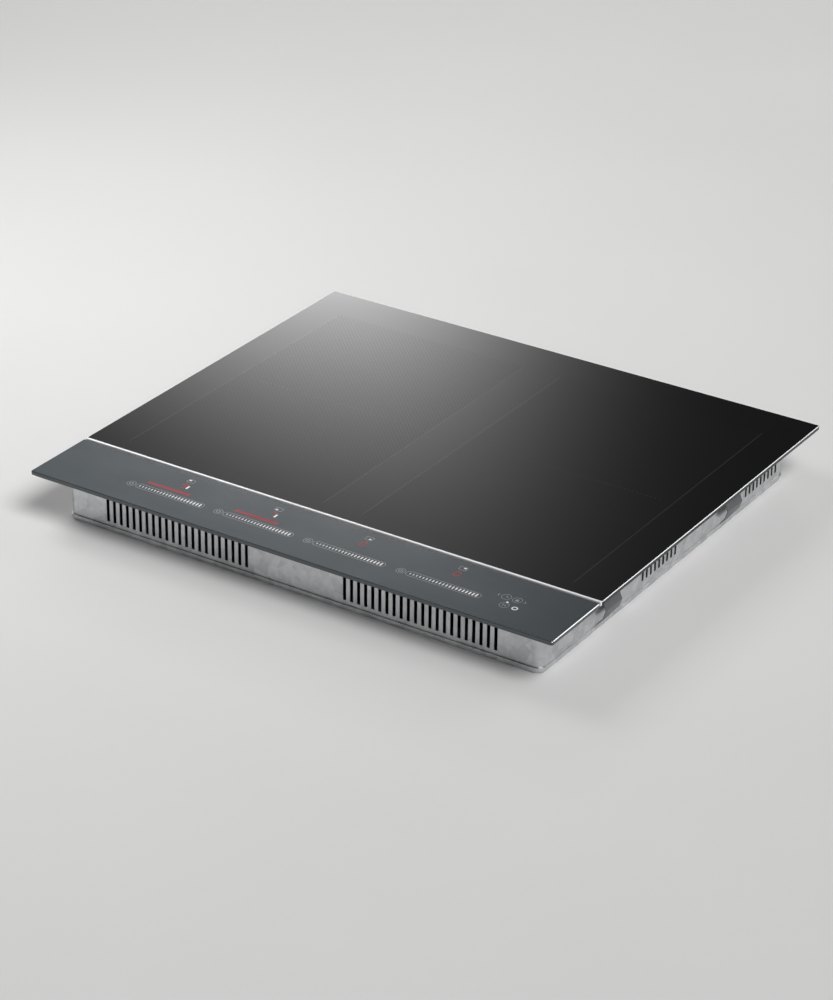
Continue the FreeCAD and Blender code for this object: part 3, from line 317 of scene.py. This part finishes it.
def control_glass_material():
    """Clear glass over a blue-grey metallic back print, with a ground outer bevel."""
    material, n, shader = new_material("grey control glass", IOR=GLASS_IOR, Coat_Weight=1.0,
                                       Coat_Roughness=0.05, Coat_IOR=GLASS_IOR)
    position = n.position()
    bevel = bevel_mask(n, position)
    flake = n.noise(n.place(), scale=2600.0, detail=1.0)
    cloud = n.noise(n.place(), scale=11.0, detail=2.0)
    level = n.math("ADD", n.math("MULTIPLY", flake, 0.1), n.math("MULTIPLY", cloud, 0.25))
    level = n.math("ADD", level, n.math("MULTIPLY", bevel, BEVEL_LIFT))
    slate = (BODY_STOP, (0.064, 0.080, 0.091))
    colour = n.tint(level, (0.041, 0.052, 0.059), GROUND_GLASS, middle=slate)
    metallic = n.math("MAXIMUM", n.spread(flake, 0.55, 0.75), bevel)
    smear = n.noise(n.place((1.0, 2.5, 1.0)), scale=13.0, detail=5.0, roughness=0.6)
    roughness = n.math("SUBTRACT", n.spread(smear, 0.42, 0.5, 0.35, 0.7), n.math("MULTIPLY", bevel, 0.22))
    link(n, shader, Base_Color=colour, Roughness=roughness, Metallic=metallic)
    return material


def brushed_metal(name, dark, light, roughness, along, metallic=1.0, depth=0.00001):
    """Metal with fine lines along one axis: 'along' squeezes the noise on that axis."""
    material, n, shader = new_material(name, Metallic=metallic)
    lines = n.noise(n.place(along), scale=900.0, detail=4.0, roughness=0.6)
    patches = n.noise(n.place(), scale=25.0, detail=3.0)
    level = n.math("ADD", n.math("MULTIPLY", lines, 0.6), n.math("MULTIPLY", patches, 0.4))
    link(n, shader, Base_Color=n.tint(level, dark, light),
         Roughness=n.spread(lines, *roughness, 0.3, 0.7),
         Normal=n.bump(lines, distance=depth, strength=0.6))
    return material


def galvanised_steel():
    """Zinc-coated sheet: crystal patches of slightly different brightness and sheen."""
    material, n, shader = new_material("galvanised sheet", Metallic=1.0)
    warp = n.noise(n.place(), scale=60.0, detail=3.0)
    coarse = n.add("ShaderNodeTexVoronoi", {"Vector": n.place(), "Scale": 95.0, "Randomness": 1.0})
    fine = n.add("ShaderNodeTexVoronoi", {"Vector": n.place(), "Scale": 210.0, "Randomness": 1.0})
    crystal = n.add("ShaderNodeSeparateColor", {0: coarse.outputs["Color"]}).outputs[0]
    grain = n.add("ShaderNodeSeparateColor", {0: fine.outputs["Color"]}).outputs[1]
    level = n.math("ADD", n.math("MULTIPLY", crystal, 0.45), n.math("MULTIPLY", grain, 0.2))
    level = n.math("ADD", level, n.math("MULTIPLY", warp, 0.35))
    handling = n.noise(n.place((1.0, 1.0, 3.0)), scale=18.0, detail=6.0, roughness=0.65)
    roughness = n.math("ADD", n.spread(level, 0.24, 0.46), n.spread(handling, 0.0, 0.12, 0.45, 0.75))
    link(n, shader, Base_Color=n.tint(level, (0.42, 0.43, 0.44), (0.74, 0.75, 0.76)),
         Roughness=roughness, Normal=n.bump(level, distance=0.00002, strength=0.5))
    return material


def moulded_plastic(name, dark, light, roughness):
    """Moulded plastic with a spark-eroded grain and slight flow marks."""
    material, n, shader = new_material(name)
    grain = n.noise(n.place(), scale=1400.0, detail=2.0)
    flow = n.noise(n.place((1.0, 1.0, 2.0)), scale=30.0, detail=3.0)
    link(n, shader, Base_Color=n.tint(flow, dark, light),
         Roughness=n.spread(flow, roughness - 0.06, roughness + 0.06),
         Normal=n.bump(grain, distance=0.00003, strength=0.5))
    return material


def rubber(name, dark, light):
    """Matt rubber or foam with fine pores and a little dust."""
    material, n, shader = new_material(name, Specular_IOR_Level=0.35)
    pores = n.noise(n.place(), scale=1800.0, detail=3.0, roughness=0.6)
    dust = n.noise(n.place(), scale=40.0, detail=4.0, roughness=0.6)
    link(n, shader, Base_Color=n.tint(dust, dark, light), Roughness=n.spread(dust, 0.72, 0.9),
         Normal=n.bump(pores, distance=0.00006, strength=0.7))
    return material


def painted_steel():
    """Matt black powder coat with an orange-peel surface."""
    material, n, shader = new_material("black powder coat")
    peel = n.noise(n.place(), scale=900.0, detail=2.0)
    rub = n.noise(n.place(), scale=30.0, detail=5.0, roughness=0.6)
    link(n, shader, Base_Color=n.tint(rub, (0.012, 0.012, 0.013), (0.035, 0.035, 0.037)),
         Roughness=n.spread(rub, 0.42, 0.62), Normal=n.bump(peel, distance=0.00004, strength=0.6))
    return material


def stranded_copper():
    """Lacquered copper strands that cross the wire at a slant."""
    material, n, shader = new_material("stranded copper", Metallic=0.85)
    slant = n.place((1.0, 1.0, 1.6))
    settings = {"Vector": slant, "Scale": 520.0, "Distortion": 1.5, "Detail": 1.0}
    strands = n.add("ShaderNodeTexWave", settings, bands_direction="DIAGONAL").outputs["Fac"]
    heat = n.noise(n.place(), scale=35.0, detail=4.0)
    level = n.math("ADD", n.math("MULTIPLY", strands, 0.5), n.math("MULTIPLY", heat, 0.5))
    link(n, shader, Base_Color=n.tint(level, (0.27, 0.085, 0.03), (0.78, 0.36, 0.16)),
         Roughness=n.spread(strands, 0.3, 0.45), Normal=n.bump(strands, distance=0.0001, strength=0.8))
    return material


def circuit_board():
    """Green solder mask over copper tracks that show as a faint relief."""
    material, n, shader = new_material("circuit board", Coat_Weight=0.4, Coat_Roughness=0.12)
    cells = n.add("ShaderNodeTexVoronoi", {"Vector": n.place(), "Scale": 130.0, "Randomness": 0.35},
                  distance="MANHATTAN", feature="F1").outputs["Distance"]
    tracks = n.spread(cells, 0.0, 1.0, 0.42, 0.5)
    weave = n.noise(n.place(), scale=700.0, detail=2.0)
    level = n.math("ADD", n.math("MULTIPLY", tracks, 0.7), n.math("MULTIPLY", weave, 0.3))
    link(n, shader, Base_Color=n.tint(level, (0.008, 0.075, 0.03), (0.03, 0.20, 0.085)),
         Roughness=n.spread(weave, 0.3, 0.5), Normal=n.bump(tracks, distance=0.00008, strength=0.6))
    return material


def sintered(name, dark, light, roughness):
    """Dense pressed material with a fine speckle: ferrite, mica and felt."""
    material, n, shader = new_material(name)
    speck = n.noise(n.place(), scale=1500.0, detail=4.0, roughness=0.7)
    broad = n.noise(n.place(), scale=45.0, detail=3.0)
    level = n.math("ADD", n.math("MULTIPLY", speck, 0.6), n.math("MULTIPLY", broad, 0.4))
    link(n, shader, Base_Color=n.tint(level, dark, light),
         Roughness=n.spread(speck, roughness - 0.1, roughness),
         Normal=n.bump(speck, distance=0.00005, strength=0.6))
    return material


def ink(name, level, roughness=0.5, gloss=0.5):
    """Screen-printed ceramic ink with a slightly uneven cover."""
    material, n, shader = new_material(name, Specular_IOR_Level=gloss)
    cover = n.noise(n.place(), scale=1200.0, detail=3.0, roughness=0.6)
    dark = tuple(0.82 * part for part in level)
    link(n, shader, Base_Color=n.tint(cover, dark, level),
         Roughness=n.spread(cover, 0.8 * roughness, roughness))
    return material


def lamp(name, colour, strength):
    """Lit display segment with a soft hot spot pattern behind its diffuser."""
    diffuser = tuple(0.25 * part for part in colour)
    material, n, shader = new_material(name, Base_Color=diffuser, Roughness=0.4,
                                       Specular_IOR_Level=0.25, Emission_Strength=strength)
    glow = n.noise(n.place(), scale=900.0, detail=1.0)
    link(n, shader, Emission_Color=n.tint(glow, tuple(0.7 * part for part in colour), colour))
    return material


# ---------------------------------------------------------------- materials on the CAD nodes
def dress_cad_nodes():
    """Gives every CAD node its material, by the start of its name."""
    steel = galvanised_steel()
    spring = brushed_metal("spring steel", dark=(0.16, 0.165, 0.18), light=(0.30, 0.305, 0.32),
                           roughness=(0.46, 0.6), along=(1.0, 0.04, 1.0), depth=0.000004)
    zinc = brushed_metal("zinc screw", dark=(0.48, 0.47, 0.44), light=(0.78, 0.77, 0.73),
                         roughness=(0.2, 0.38), along=(1.0, 1.0, 1.0))
    trim = brushed_metal("satin trim", dark=(0.90, 0.90, 0.91), light=(0.97, 0.97, 0.97),
                         roughness=(0.34, 0.44), along=(0.02, 1.0, 1.0), metallic=0.3, depth=0.000002)
    plate = brushed_metal("coil plate", dark=(0.62, 0.63, 0.65), light=(0.86, 0.87, 0.88),
                          roughness=(0.28, 0.45), along=(1.0, 0.03, 1.0))
    extruded = brushed_metal("extruded fins", dark=(0.52, 0.53, 0.55), light=(0.80, 0.81, 0.83),
                             roughness=(0.3, 0.5), along=(1.0, 0.03, 1.0))
    brass = brushed_metal("brass", dark=(0.50, 0.36, 0.13), light=(0.83, 0.66, 0.32),
                          roughness=(0.22, 0.4), along=(1.0, 1.0, 1.0))
    label = brushed_metal("blank label film", dark=(0.66, 0.66, 0.67), light=(0.80, 0.80, 0.81),
                          roughness=(0.32, 0.45), along=(0.05, 1.0, 1.0))
    copper = stranded_copper()
    board = circuit_board()
    black_plastic = moulded_plastic("black moulding", (0.014, 0.014, 0.015), (0.028, 0.028, 0.030), 0.5)
    grey_plastic = moulded_plastic("grey moulding", (0.20, 0.205, 0.21), (0.30, 0.305, 0.31), 0.55)
    pale_plastic = moulded_plastic("pale moulding", (0.58, 0.575, 0.55), (0.72, 0.715, 0.69), 0.5)
    chip_case = moulded_plastic("epoxy case", (0.012, 0.012, 0.012), (0.03, 0.03, 0.03), 0.38)
    display_window = moulded_plastic("display window", (0.05, 0.006, 0.008), (0.09, 0.012, 0.014), 0.25)
    by_start = {
        "cooking_glass": cooking_glass_material(),
        "control_glass": control_glass_material(),
        "trim_strip": trim,
        "worktop_seal": rubber("foam seal", (0.012, 0.012, 0.012), (0.035, 0.035, 0.034)),
        "cable_bush": rubber("bush rubber", (0.010, 0.010, 0.011), (0.028, 0.028, 0.028)),
        "touch_pads": rubber("conductive foam", (0.03, 0.03, 0.032), (0.075, 0.075, 0.078)),
        "glass_frame": painted_steel(),
        "base_tray": steel,
        "clip_brackets": steel,
        "clip_": spring,
        "plate_springs": spring,
        "case_screws": zinc,
        "board_screws": zinc,
        "cover_hinge_pin": zinc,
        "terminal_screws": brass,
        "rating_plate": label,
        "coil_plate": plate,
        "heat_sink": extruded,
        "winding": copper,
        "board_chokes": copper,
        "coil_former": black_plastic,
        "impeller": black_plastic,
        "fan_housing": black_plastic,
        "terminal_cover": black_plastic,
        "control_carrier": grey_plastic,
        "board_carrier": grey_plastic,
        "terminal_box": grey_plastic,
        "cable_clamp": grey_plastic,
        "terminal_block": pale_plastic,
        "heat_sensors": pale_plastic,
        "power_board": board,
        "touch_board": board,
        "ferrite_bars": sintered("ferrite", (0.025, 0.025, 0.028), (0.075, 0.075, 0.08), 0.75),
        "glass_pads": sintered("mica sheet", (0.42, 0.37, 0.28), (0.66, 0.61, 0.50), 0.7),
        "power_semiconductors": chip_case,
        "film_capacitors": moulded_plastic("capacitor case", (0.42, 0.25, 0.02), (0.60, 0.38, 0.05), 0.35),
        "display_modules": display_window,
        "ribbon_cable": moulded_plastic("ribbon jacket", (0.30, 0.30, 0.31), (0.46, 0.46, 0.47), 0.45),
        "mains_leads": moulded_plastic("lead jacket", (0.02, 0.05, 0.22), (0.05, 0.10, 0.34), 0.45),
        "coil_leads": moulded_plastic("coil lead sleeve", (0.36, 0.33, 0.26), (0.52, 0.48, 0.40), 0.6),
    }
    starts = sorted(by_start, key=len, reverse=True)
    for name, node in cad.items():
        start = next(s for s in starts if name.startswith(s))
        node.data.materials.clear()
        node.data.materials.append(by_start[start])


# ---------------------------------------------------------------- printed marks
def closed_ring(points):
    """Pairs of neighbours round a closed outline."""
    return list(zip(points, points[1:] + points[:1]))


def stroke(points, width, closed=False):
    """Quads that follow a path with mitred corners."""
    count = len(points)
    left, right = [], []
    for index in range(count):
        before = points[index - 1] if closed or index > 0 else points[index]
        after = points[(index + 1) % count] if closed or index < count - 1 else points[index]
        here = Vector(points[index])
        ahead = (Vector(after) - here) if Vector(after) != here else (here - Vector(before))
        behind = (here - Vector(before)) if Vector(before) != here else ahead
        ahead.normalize()
        behind.normalize()
        along = (ahead + behind).normalized()
        across = Vector((-along.y, along.x))
        reach = width / 2 / max(MITRE_LIMIT, across.dot(Vector((-ahead.y, ahead.x))))
        left.append(here + across * reach)
        right.append(here - across * reach)
    last = count if closed else count - 1
    quads = []
    for index in range(last):
        following = (index + 1) % count
        quads.append([right[index], right[following], left[following], left[index]])
    return quads


def arc(centre, radius, start_degrees, end_degrees, steps=20):
    """Points along part of a circle."""
    points = []
    for index in range(steps + 1):
        angle = math.radians(start_degrees + (end_degrees - start_degrees) * index / steps)
        points.append((centre[0] + radius * math.cos(angle), centre[1] + radius * math.sin(angle)))
    return points


def circle_line(centre, radius, width, steps=28):
    return stroke(arc(centre, radius, 0.0, 360.0, steps)[:-1], width, closed=True)


def disc(centre, radius, steps=20):
    return [arc(centre, radius, 0.0, 360.0, steps)[:-1]]


def slab(centre, size):
    """One filled rectangle."""
    left, right = centre[0] - size[0] / 2, centre[0] + size[0] / 2
    low, high = centre[1] - size[1] / 2, centre[1] + size[1] / 2
    return [[(left, low), (right, low), (right, high), (left, high)]]


def rounded_path(centre, size, radius, steps=6):
    """Outline of a rectangle with round corners."""
    half_x, half_y = size[0] / 2 - radius, size[1] / 2 - radius
    points = []
    for quarter, (side_x, side_y) in enumerate(((1, 1), (-1, 1), (-1, -1), (1, -1))):
        corner = (centre[0] + side_x * half_x, centre[1] + side_y * half_y)
        points += arc(corner, radius, 90.0 * quarter, 90.0 * (quarter + 1), steps)
    return points


def printed(name, shapes, material, on_rear=None):
    """Thin raised print made from flat outlines: on the glass, or on an upright face at y = on_rear."""
    def place(point, rise):
        if on_rear is None:
            return (point[0], point[1], GLASS_TOP + rise)
        return (point[0], on_rear + rise, point[1])
    mesh = bpy.data.meshes.new(name)
    build = bmesh.new()
    for outline in shapes:
        floor = [build.verts.new(place(point, 0.0)) for point in outline]
        roof = [build.verts.new(place(point, INK_HEIGHT)) for point in outline]
        build.faces.new(roof)
        build.faces.new(list(reversed(floor)))
        for (low_a, low_b), (top_a, top_b) in zip(closed_ring(floor), closed_ring(roof)):
            build.faces.new((low_a, low_b, top_b, top_a))
    bmesh.ops.recalc_face_normals(build, faces=build.faces)
    build.to_mesh(mesh)
    build.free()
    mesh.materials.append(material)
    piece = bpy.data.objects.new(name, mesh)
    bpy.context.scene.collection.objects.link(piece)
    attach(piece, "case")
    return piece


def power_mark(centre):
    """Fine ring round a broken circle with an upright bar."""
    radius = POWER_GLYPH_RADIUS
    shapes = circle_line(centre, POWER_RING_RADIUS, FINE_LINE)
    shapes += stroke(arc(centre, radius, *POWER_GLYPH_ARC), BOLD_LINE)
    return shapes + slab((centre[0], centre[1] + POWER_BAR_RISE * radius), (BOLD_LINE, radius))


def slider_outline(start):
    """Fine line with round ends round one slider."""
    centre = (start + SLIDER_LENGTH / 2, SLIDER_Y)
    outline = rounded_path(centre, (SLIDER_LENGTH, SLIDER_HEIGHT), SLIDER_HEIGHT / 2)
    return stroke(outline, FINE_LINE, closed=True)


def slider_ticks(start):
    """Ticks that grow towards the high end."""
    pitch = (SLIDER_LENGTH - SLIDER_HEIGHT) / (TICK_COUNT - 1)
    shapes = []
    for index in range(TICK_COUNT):
        share = index / (TICK_COUNT - 1)
        width = TICK_WIDTHS[0] + (TICK_WIDTHS[1] - TICK_WIDTHS[0]) * share
        length = TICK_LENGTHS[0] + (TICK_LENGTHS[1] - TICK_LENGTHS[0]) * share
        shapes += slab((start + SLIDER_HEIGHT / 2 + index * pitch, SLIDER_Y), (width, length))
    return shapes


def digit_marks(centre, value):
    """Seven-segment figure."""
    half_x, half_y = DIGIT_SIZE[0] / 2, DIGIT_SIZE[1] / 2
    flat = (DIGIT_SIZE[0] - DIGIT_LINE, DIGIT_LINE)
    upright = (DIGIT_LINE, half_y - DIGIT_LINE)
    places = {
        "a": ((0.0, half_y), flat),
        "g": ((0.0, 0.0), flat),
        "d": ((0.0, -half_y), flat),
        "b": ((half_x, half_y / 2), upright),
        "c": ((half_x, -half_y / 2), upright),
        "e": ((-half_x, -half_y / 2), upright),
        "f": ((-half_x, half_y / 2), upright),
    }
    shapes = []
    for segment in DIGIT_SEGMENTS[value]:
        offset, size = places[segment]
        shapes += slab((centre[0] + offset[0], centre[1] + offset[1]), size)
    return shapes


def icon_outline(centre):
    return stroke(rounded_path(centre, ICON_SIZE, ICON_CORNER), FINE_LINE, closed=True)


def icon_quarter(centre, quarter):
    """The filled quarter that names one zone."""
    column, row = quarter
    x = centre[0] + column * ICON_QUARTER_SHIFT * ICON_SIZE[0]
    y = centre[1] + row * ICON_QUARTER_SHIFT * ICON_SIZE[1]
    return slab((x, y), (ICON_QUARTER_SHARE * ICON_SIZE[0], ICON_QUARTER_SHARE * ICON_SIZE[1]))


def function_keys():
    """Outlined keys at the right end: timer, lock and pause, with step arrows at both ends."""
    shapes = []
    for centre in (KEY_TIMER, KEY_LOCK, KEY_PAUSE):
        shapes += circle_line(centre, KEY_RADIUS, FINE_LINE)
    hand = KEY_RADIUS / 2
    x, y = KEY_TIMER
    shapes += stroke([(x, y + hand), (x, y), (x + hand, y)], BOLD_LINE)
    x, y = KEY_LOCK
    shapes += slab((x, y - hand / 3), (1.5 * hand, hand))
    shapes += stroke(arc((x, y + hand / 3), hand / 2, 0.0, 180.0), FINE_LINE)
    x, y = KEY_PAUSE
    for side in (-1, 1):
        shapes += slab((x + side * hand / 2, y), (BOLD_LINE, 1.5 * hand))
    for x, way in zip(KEY_ARROW_X, (-1, 1)):
        y, reach = KEY_TIMER[1], KEY_ARROW_REACH
        shapes += stroke([(x, y + reach), (x + way * reach, y), (x, y - reach)], BOLD_LINE)
    return shapes


def print_controls():
    """Printed sliders and keys, and the lit bars, figures and pointers, on the control glass."""
    white = ink("white ink", (0.86, 0.87, 0.88))
    grey = ink("grey ink", (0.34, 0.355, 0.365))
    red = lamp("red segment", (1.0, 0.075, 0.12), 0.07)
    pale_lamp = lamp("white lamp", (0.9, 0.95, 1.0), 0.8)
    outlines, ticks, glyphs, quarters, bars, figures = [], [], [], [], [], []
    pointers = disc(KEY_LAMP, KEY_LAMP_RADIUS)
    for index in range(SLIDER_COUNT):
        start = SLIDER_FIRST_X + index * SLIDER_PITCH
        digit = (start + DIGIT_OFFSET, DIGIT_Y)
        icon = (start + ICON_OFFSET, ICON_Y)
        outlines += slider_outline(start) + icon_outline(icon)
        ticks += slider_ticks(start)
        glyphs += power_mark((start + POWER_OFFSET, SLIDER_Y))
        quarters += icon_quarter(icon, ICON_QUARTERS[index])
        figures += digit_marks(digit, DIGIT_VALUES[index])
        if index in LIT_SLIDERS:
            for dash in range(LIT_DASH_COUNT):
                x = start + LIT_BAR_OFFSET + (dash + 0.5) * LIT_DASH_PITCH
                bars += slab((x, LIT_BAR_Y), LIT_DASH)
            pointers += slab((digit[0] + POINTER_OFFSET[0], digit[1] + POINTER_OFFSET[1]), POINTER_SIZE)
    printed("slider_outlines", outlines, grey)
    printed("slider_ticks", ticks, white)
    printed("power_marks", glyphs, grey)
    printed("zone_icon_quarters", quarters, white)
    printed("function_keys", function_keys(), grey)
    printed("main_key_ring", circle_line(KEY_MAIN, KEY_MAIN_RADIUS, KEY_MAIN_LINE), white)
    printed("lit_slider_bars", bars, red)
    printed("lit_figures", figures, red)
    printed("lit_pointers", pointers, pale_lamp)


def print_zones():
    """Zone side lines and the fine dotted split between front and rear zones."""
    faint = ink("zone line ink", (0.032, 0.032, 0.033), roughness=0.12, gloss=0.66)
    middle_y = (ZONE_FRONT_Y + ZONE_BACK_Y) / 2
    length = ZONE_BACK_Y - ZONE_FRONT_Y
    split_count = int((ZONE_OUTER_X - ZONE_INNER_X - 2 * SPLIT_INSET) / SPLIT_PITCH) + 1
    lines, dashes = [], []
    for side in (-1, 1):
        for x in (ZONE_INNER_X, ZONE_OUTER_X):
            lines += slab((side * x, middle_y), (ZONE_LINE_WIDTH, length))
        for index in range(split_count):
            x = ZONE_INNER_X + SPLIT_INSET + index * SPLIT_PITCH
            dashes += slab((side * x, ZONE_SPLIT_Y), SPLIT_DASH)
    printed("zone_lines", lines, faint)
    printed("zone_split_dashes", dashes, faint)


def rule_rating_plate():
    """Blank ruled grid etched on the rating plate, with no lettering."""
    dark = ink("etched grid", (0.10, 0.10, 0.105))
    low_x, high_x = PLATE_LOW.x + PLATE_MARGIN, PLATE_HIGH.x - PLATE_MARGIN
    low_z, high_z = PLATE_LOW.z + PLATE_MARGIN, PLATE_HIGH.z - PLATE_MARGIN
    bars = []
    for row in range(PLATE_ROWS + 1):
        z = low_z + (high_z - low_z) * row / PLATE_ROWS
        bars += slab(((low_x + high_x) / 2, z), (high_x - low_x + PLATE_LINE, PLATE_LINE))
    for column in range(PLATE_COLUMNS + 1):
        x = low_x + (high_x - low_x) * column / PLATE_COLUMNS
        bars += slab((x, (low_z + high_z) / 2), (PLATE_LINE, high_z - low_z + PLATE_LINE))
    printed("rating_plate_grid", bars, dark, on_rear=PLATE_HIGH.y)


# ---------------------------------------------------------------- springs and leads between the case and the coil decks
def tube(build, path, radius):
    """Round wire with closed ends along a path."""
    rings = []
    for index, point in enumerate(path):
        ahead = path[min(index + 1, len(path) - 1)] - path[max(index - 1, 0)]
        turn = ahead.to_track_quat("Z", "X")
        ring = []
        for side in range(WIRE_SIDES):
            angle = 2 * math.pi * side / WIRE_SIDES
            offset = Vector((radius * math.cos(angle), radius * math.sin(angle), 0.0))
            ring.append(build.verts.new(point + turn @ offset))
        rings.append(ring)
    for ring, following in zip(rings, rings[1:]):
        for (low_a, low_b), (top_a, top_b) in zip(closed_ring(ring), closed_ring(following)):
            build.faces.new((low_a, low_b, top_b, top_a))
    build.faces.new(rings[0])
    build.faces.new(rings[-1])


def spring_path(x, y, low, high):
    """Centre line of one coil spring, from its post up to the coil plate."""
    points = []
    for step in range(SPRING_STEPS + 1):
        share = step / SPRING_STEPS
        angle = 2 * math.pi * SPRING_TURNS * share
        wire_x = x + SPRING_COIL_RADIUS * math.cos(angle)
        wire_y = y + SPRING_COIL_RADIUS * math.sin(angle)
        wire_z = low + SPRING_WIRE_RADIUS + (high - low - 2 * SPRING_WIRE_RADIUS) * share
        points.append(Vector((wire_x, wire_y, wire_z)))
    return points


def lead_path(x, y, low, high):
    """Centre line of one coil lead, from the power board up to its winding."""
    return [Vector((x, y, low + (high - low) * step / LEAD_STEPS)) for step in range(LEAD_STEPS + 1)]


def flexing_wires(node, mirror, places, path_of, radius):
    """Wires that stand for a CAD node and stretch between the case and a coil deck."""
    low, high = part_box(node)
    build = bmesh.new()
    for x, y in places:
        path = path_of(x, y, low.z, high.z)
        tube(build, [Vector((mirror * point.x, point.y, point.z)) for point in path], radius)
    bmesh.ops.recalc_face_normals(build, faces=build.faces)
    mesh = bpy.data.meshes.new("flexing_" + node)
    build.to_mesh(mesh)
    build.free()
    mesh.shade_smooth()
    mesh.materials.append(cad[node].data.materials[0])
    piece = bpy.data.objects.new(mesh.name, mesh)
    bpy.context.scene.collection.objects.link(piece)
    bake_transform(piece)
    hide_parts(node)


def bridge_decks():
    """Springs and coil leads of both decks."""
    for side, mirror in (("left", -1), ("right", 1)):
        flexing_wires("plate_springs_" + side, mirror, SPRING_PLACES, spring_path, SPRING_WIRE_RADIUS)
        flexing_wires("coil_leads_" + side, mirror, LEAD_PLACES, lead_path, LEAD_RADIUS)


# ---------------------------------------------------------------- studio
def flat_sheet(name, corners):
    mesh = bpy.data.meshes.new(name)
    mesh.from_pydata(corners, [], [(0, 1, 2, 3)])
    sheet = bpy.data.objects.new(name, mesh)
    bpy.context.scene.collection.objects.link(sheet)
    return sheet


def level_square(half, z):
    """Corners of a level square centred over the origin."""
    return [(-half, -half, z), (half, -half, z), (half, half, z), (-half, half, z)]


def make_floor():
    floor = flat_sheet("studio_floor", level_square(FLOOR_HALF, FLOOR_Z))
    material, n, shader = new_material("pale floor")
    grain = n.noise(n.place(), scale=3.0, detail=4.0)
    link(n, shader, Base_Color=n.tint(grain, (0.66, 0.66, 0.655), (0.70, 0.70, 0.695)),
         Roughness=n.spread(grain, 0.6, 0.75))
    floor.data.materials.append(material)


def heading(azimuth, elevation):
    """Unit vector towards a place in the studio; azimuth 0 is the front, 90 the right side."""
    turn, lift = math.radians(azimuth), math.radians(elevation)
    return Vector((math.sin(turn) * math.cos(lift), -math.cos(turn) * math.cos(lift), math.sin(lift)))


def glowing(sheet, strength):
    """Makes a sheet give light; it stays out of the picture itself."""
    material = bpy.data.materials.new(sheet.name)
    material.use_nodes = True
    nodes = material.node_tree.nodes
    nodes.remove(nodes["Principled BSDF"])
    n = Nodes(material.node_tree)
    if callable(strength):
        strength = strength(n)
    glow = n.add("ShaderNodeEmission", {"Strength": strength})
    material.node_tree.links.new(glow.outputs[0], nodes["Material Output"].inputs["Surface"])
    sheet.data.materials.append(material)
    sheet.visible_camera = False
    sheet.visible_shadow = False


def card_strength(n):
    """Brightest low down and a little left of the middle; fades upwards and to both sides."""
    place = n.position()
    climb = n.math("SUBTRACT", place["Z"], CARD_PEAK_HEIGHT)
    aside = n.math("SUBTRACT", place["X"], CARD_PEAK_SIDE)
    aside = n.math("SUBTRACT", aside, n.math("MULTIPLY", climb, CARD_LEAN))
    on_left = n.math("LESS_THAN", aside, 0.0)
    spread = n.math("MULTIPLY_ADD", on_left, CARD_SPREAD_LEFT - CARD_SPREAD_RIGHT, CARD_SPREAD_RIGHT)
    ratio = n.math("DIVIDE", aside, spread)
    side_fade = n.math("MULTIPLY", n.math("MULTIPLY", ratio, ratio), -0.5)
    fade = n.math("MULTIPLY_ADD", climb, -1.0 / CARD_FADE_HEIGHT, side_fade)
    return n.math("MULTIPLY", n.math("EXPONENT", fade), CARD_PEAK)


def make_card():
    """Tall light card straight behind the hob as the camera sees it."""
    w = CARD_HALF_WIDTH
    low, high = CARD_HEIGHTS
    card = flat_sheet("light_card", [(-w, 0.0, low), (w, 0.0, low), (w, 0.0, high), (-w, 0.0, high)])
    behind = -CARD_DISTANCE * heading(CAMERA_AZIMUTH, 0.0)
    turn = Matrix.Rotation(math.radians(CAMERA_AZIMUTH), 4, "Z")
    card.matrix_world = Matrix.Translation(behind) @ turn
    glowing(card, card_strength)


def make_softboxes():
    """Two softboxes out of the camera's mirror view: they light the strip print and the glass bevel."""
    for name, box in SOFTBOXES.items():
        sheet = flat_sheet(name, level_square(box["half_size"], 0.0))
        place = Vector(box["place"])
        facing = (-place).to_track_quat("Z", "Y").to_matrix().to_4x4()
        sheet.matrix_world = Matrix.Translation(place) @ facing
        glowing(sheet, box["strength"])


def make_sun():
    light = bpy.data.lights.new("key_sun", "SUN")
    light.energy = SUN_STRENGTH
    light.angle = SUN_SPREAD
    sun = bpy.data.objects.new("key_sun", light)
    sun.rotation_mode = "QUATERNION"
    sun.rotation_quaternion = heading(SUN_AZIMUTH, SUN_ELEVATION).to_track_quat("Z", "Y")
    bpy.context.scene.collection.objects.link(sun)


def make_sky():
    """Pale horizon that darkens with height."""
    world = bpy.data.worlds.new("studio sky")
    world.use_nodes = True
    n = Nodes(world.node_tree)
    direction = n.add("ShaderNodeSeparateXYZ", {0: n.add("ShaderNodeTexCoord").outputs["Generated"]})
    fade = n.spread(direction.outputs["Z"], SKY_HORIZON, SKY_HIGH, *SKY_FADE)
    background = world.node_tree.nodes["Background"]
    world.node_tree.links.new(fade, background.inputs["Strength"])
    background.inputs["Color"].default_value = (1.0, 1.0, 1.0, 1.0)
    bpy.context.scene.world = world


def make_camera():
    back = heading(CAMERA_AZIMUTH, CAMERA_ELEVATION)
    level_right = heading(CAMERA_AZIMUTH + 90.0, 0.0)
    level_up = back.cross(level_right)
    roll = math.radians(CAMERA_ROLL)
    right = math.cos(roll) * level_right - math.sin(roll) * level_up
    up = math.cos(roll) * level_up + math.sin(roll) * level_right
    data = bpy.data.cameras.new("camera")
    data.lens = CAMERA_LENS
    data.clip_end = CAMERA_REACH
    camera = bpy.data.objects.new("camera", data)
    place = CAMERA_AIM + back * CAMERA_DISTANCE
    camera.matrix_world = Matrix.Translation(place) @ Matrix((right, up, back)).transposed().to_4x4()
    bpy.context.scene.collection.objects.link(camera)
    bpy.context.scene.camera = camera


dress_cad_nodes()
print_controls()
print_zones()
rule_rating_plate()
bridge_decks()
make_floor()
make_card()
make_softboxes()
make_sun()
make_sky()
make_camera()
bpy.context.scene.view_settings.view_transform = "Standard"
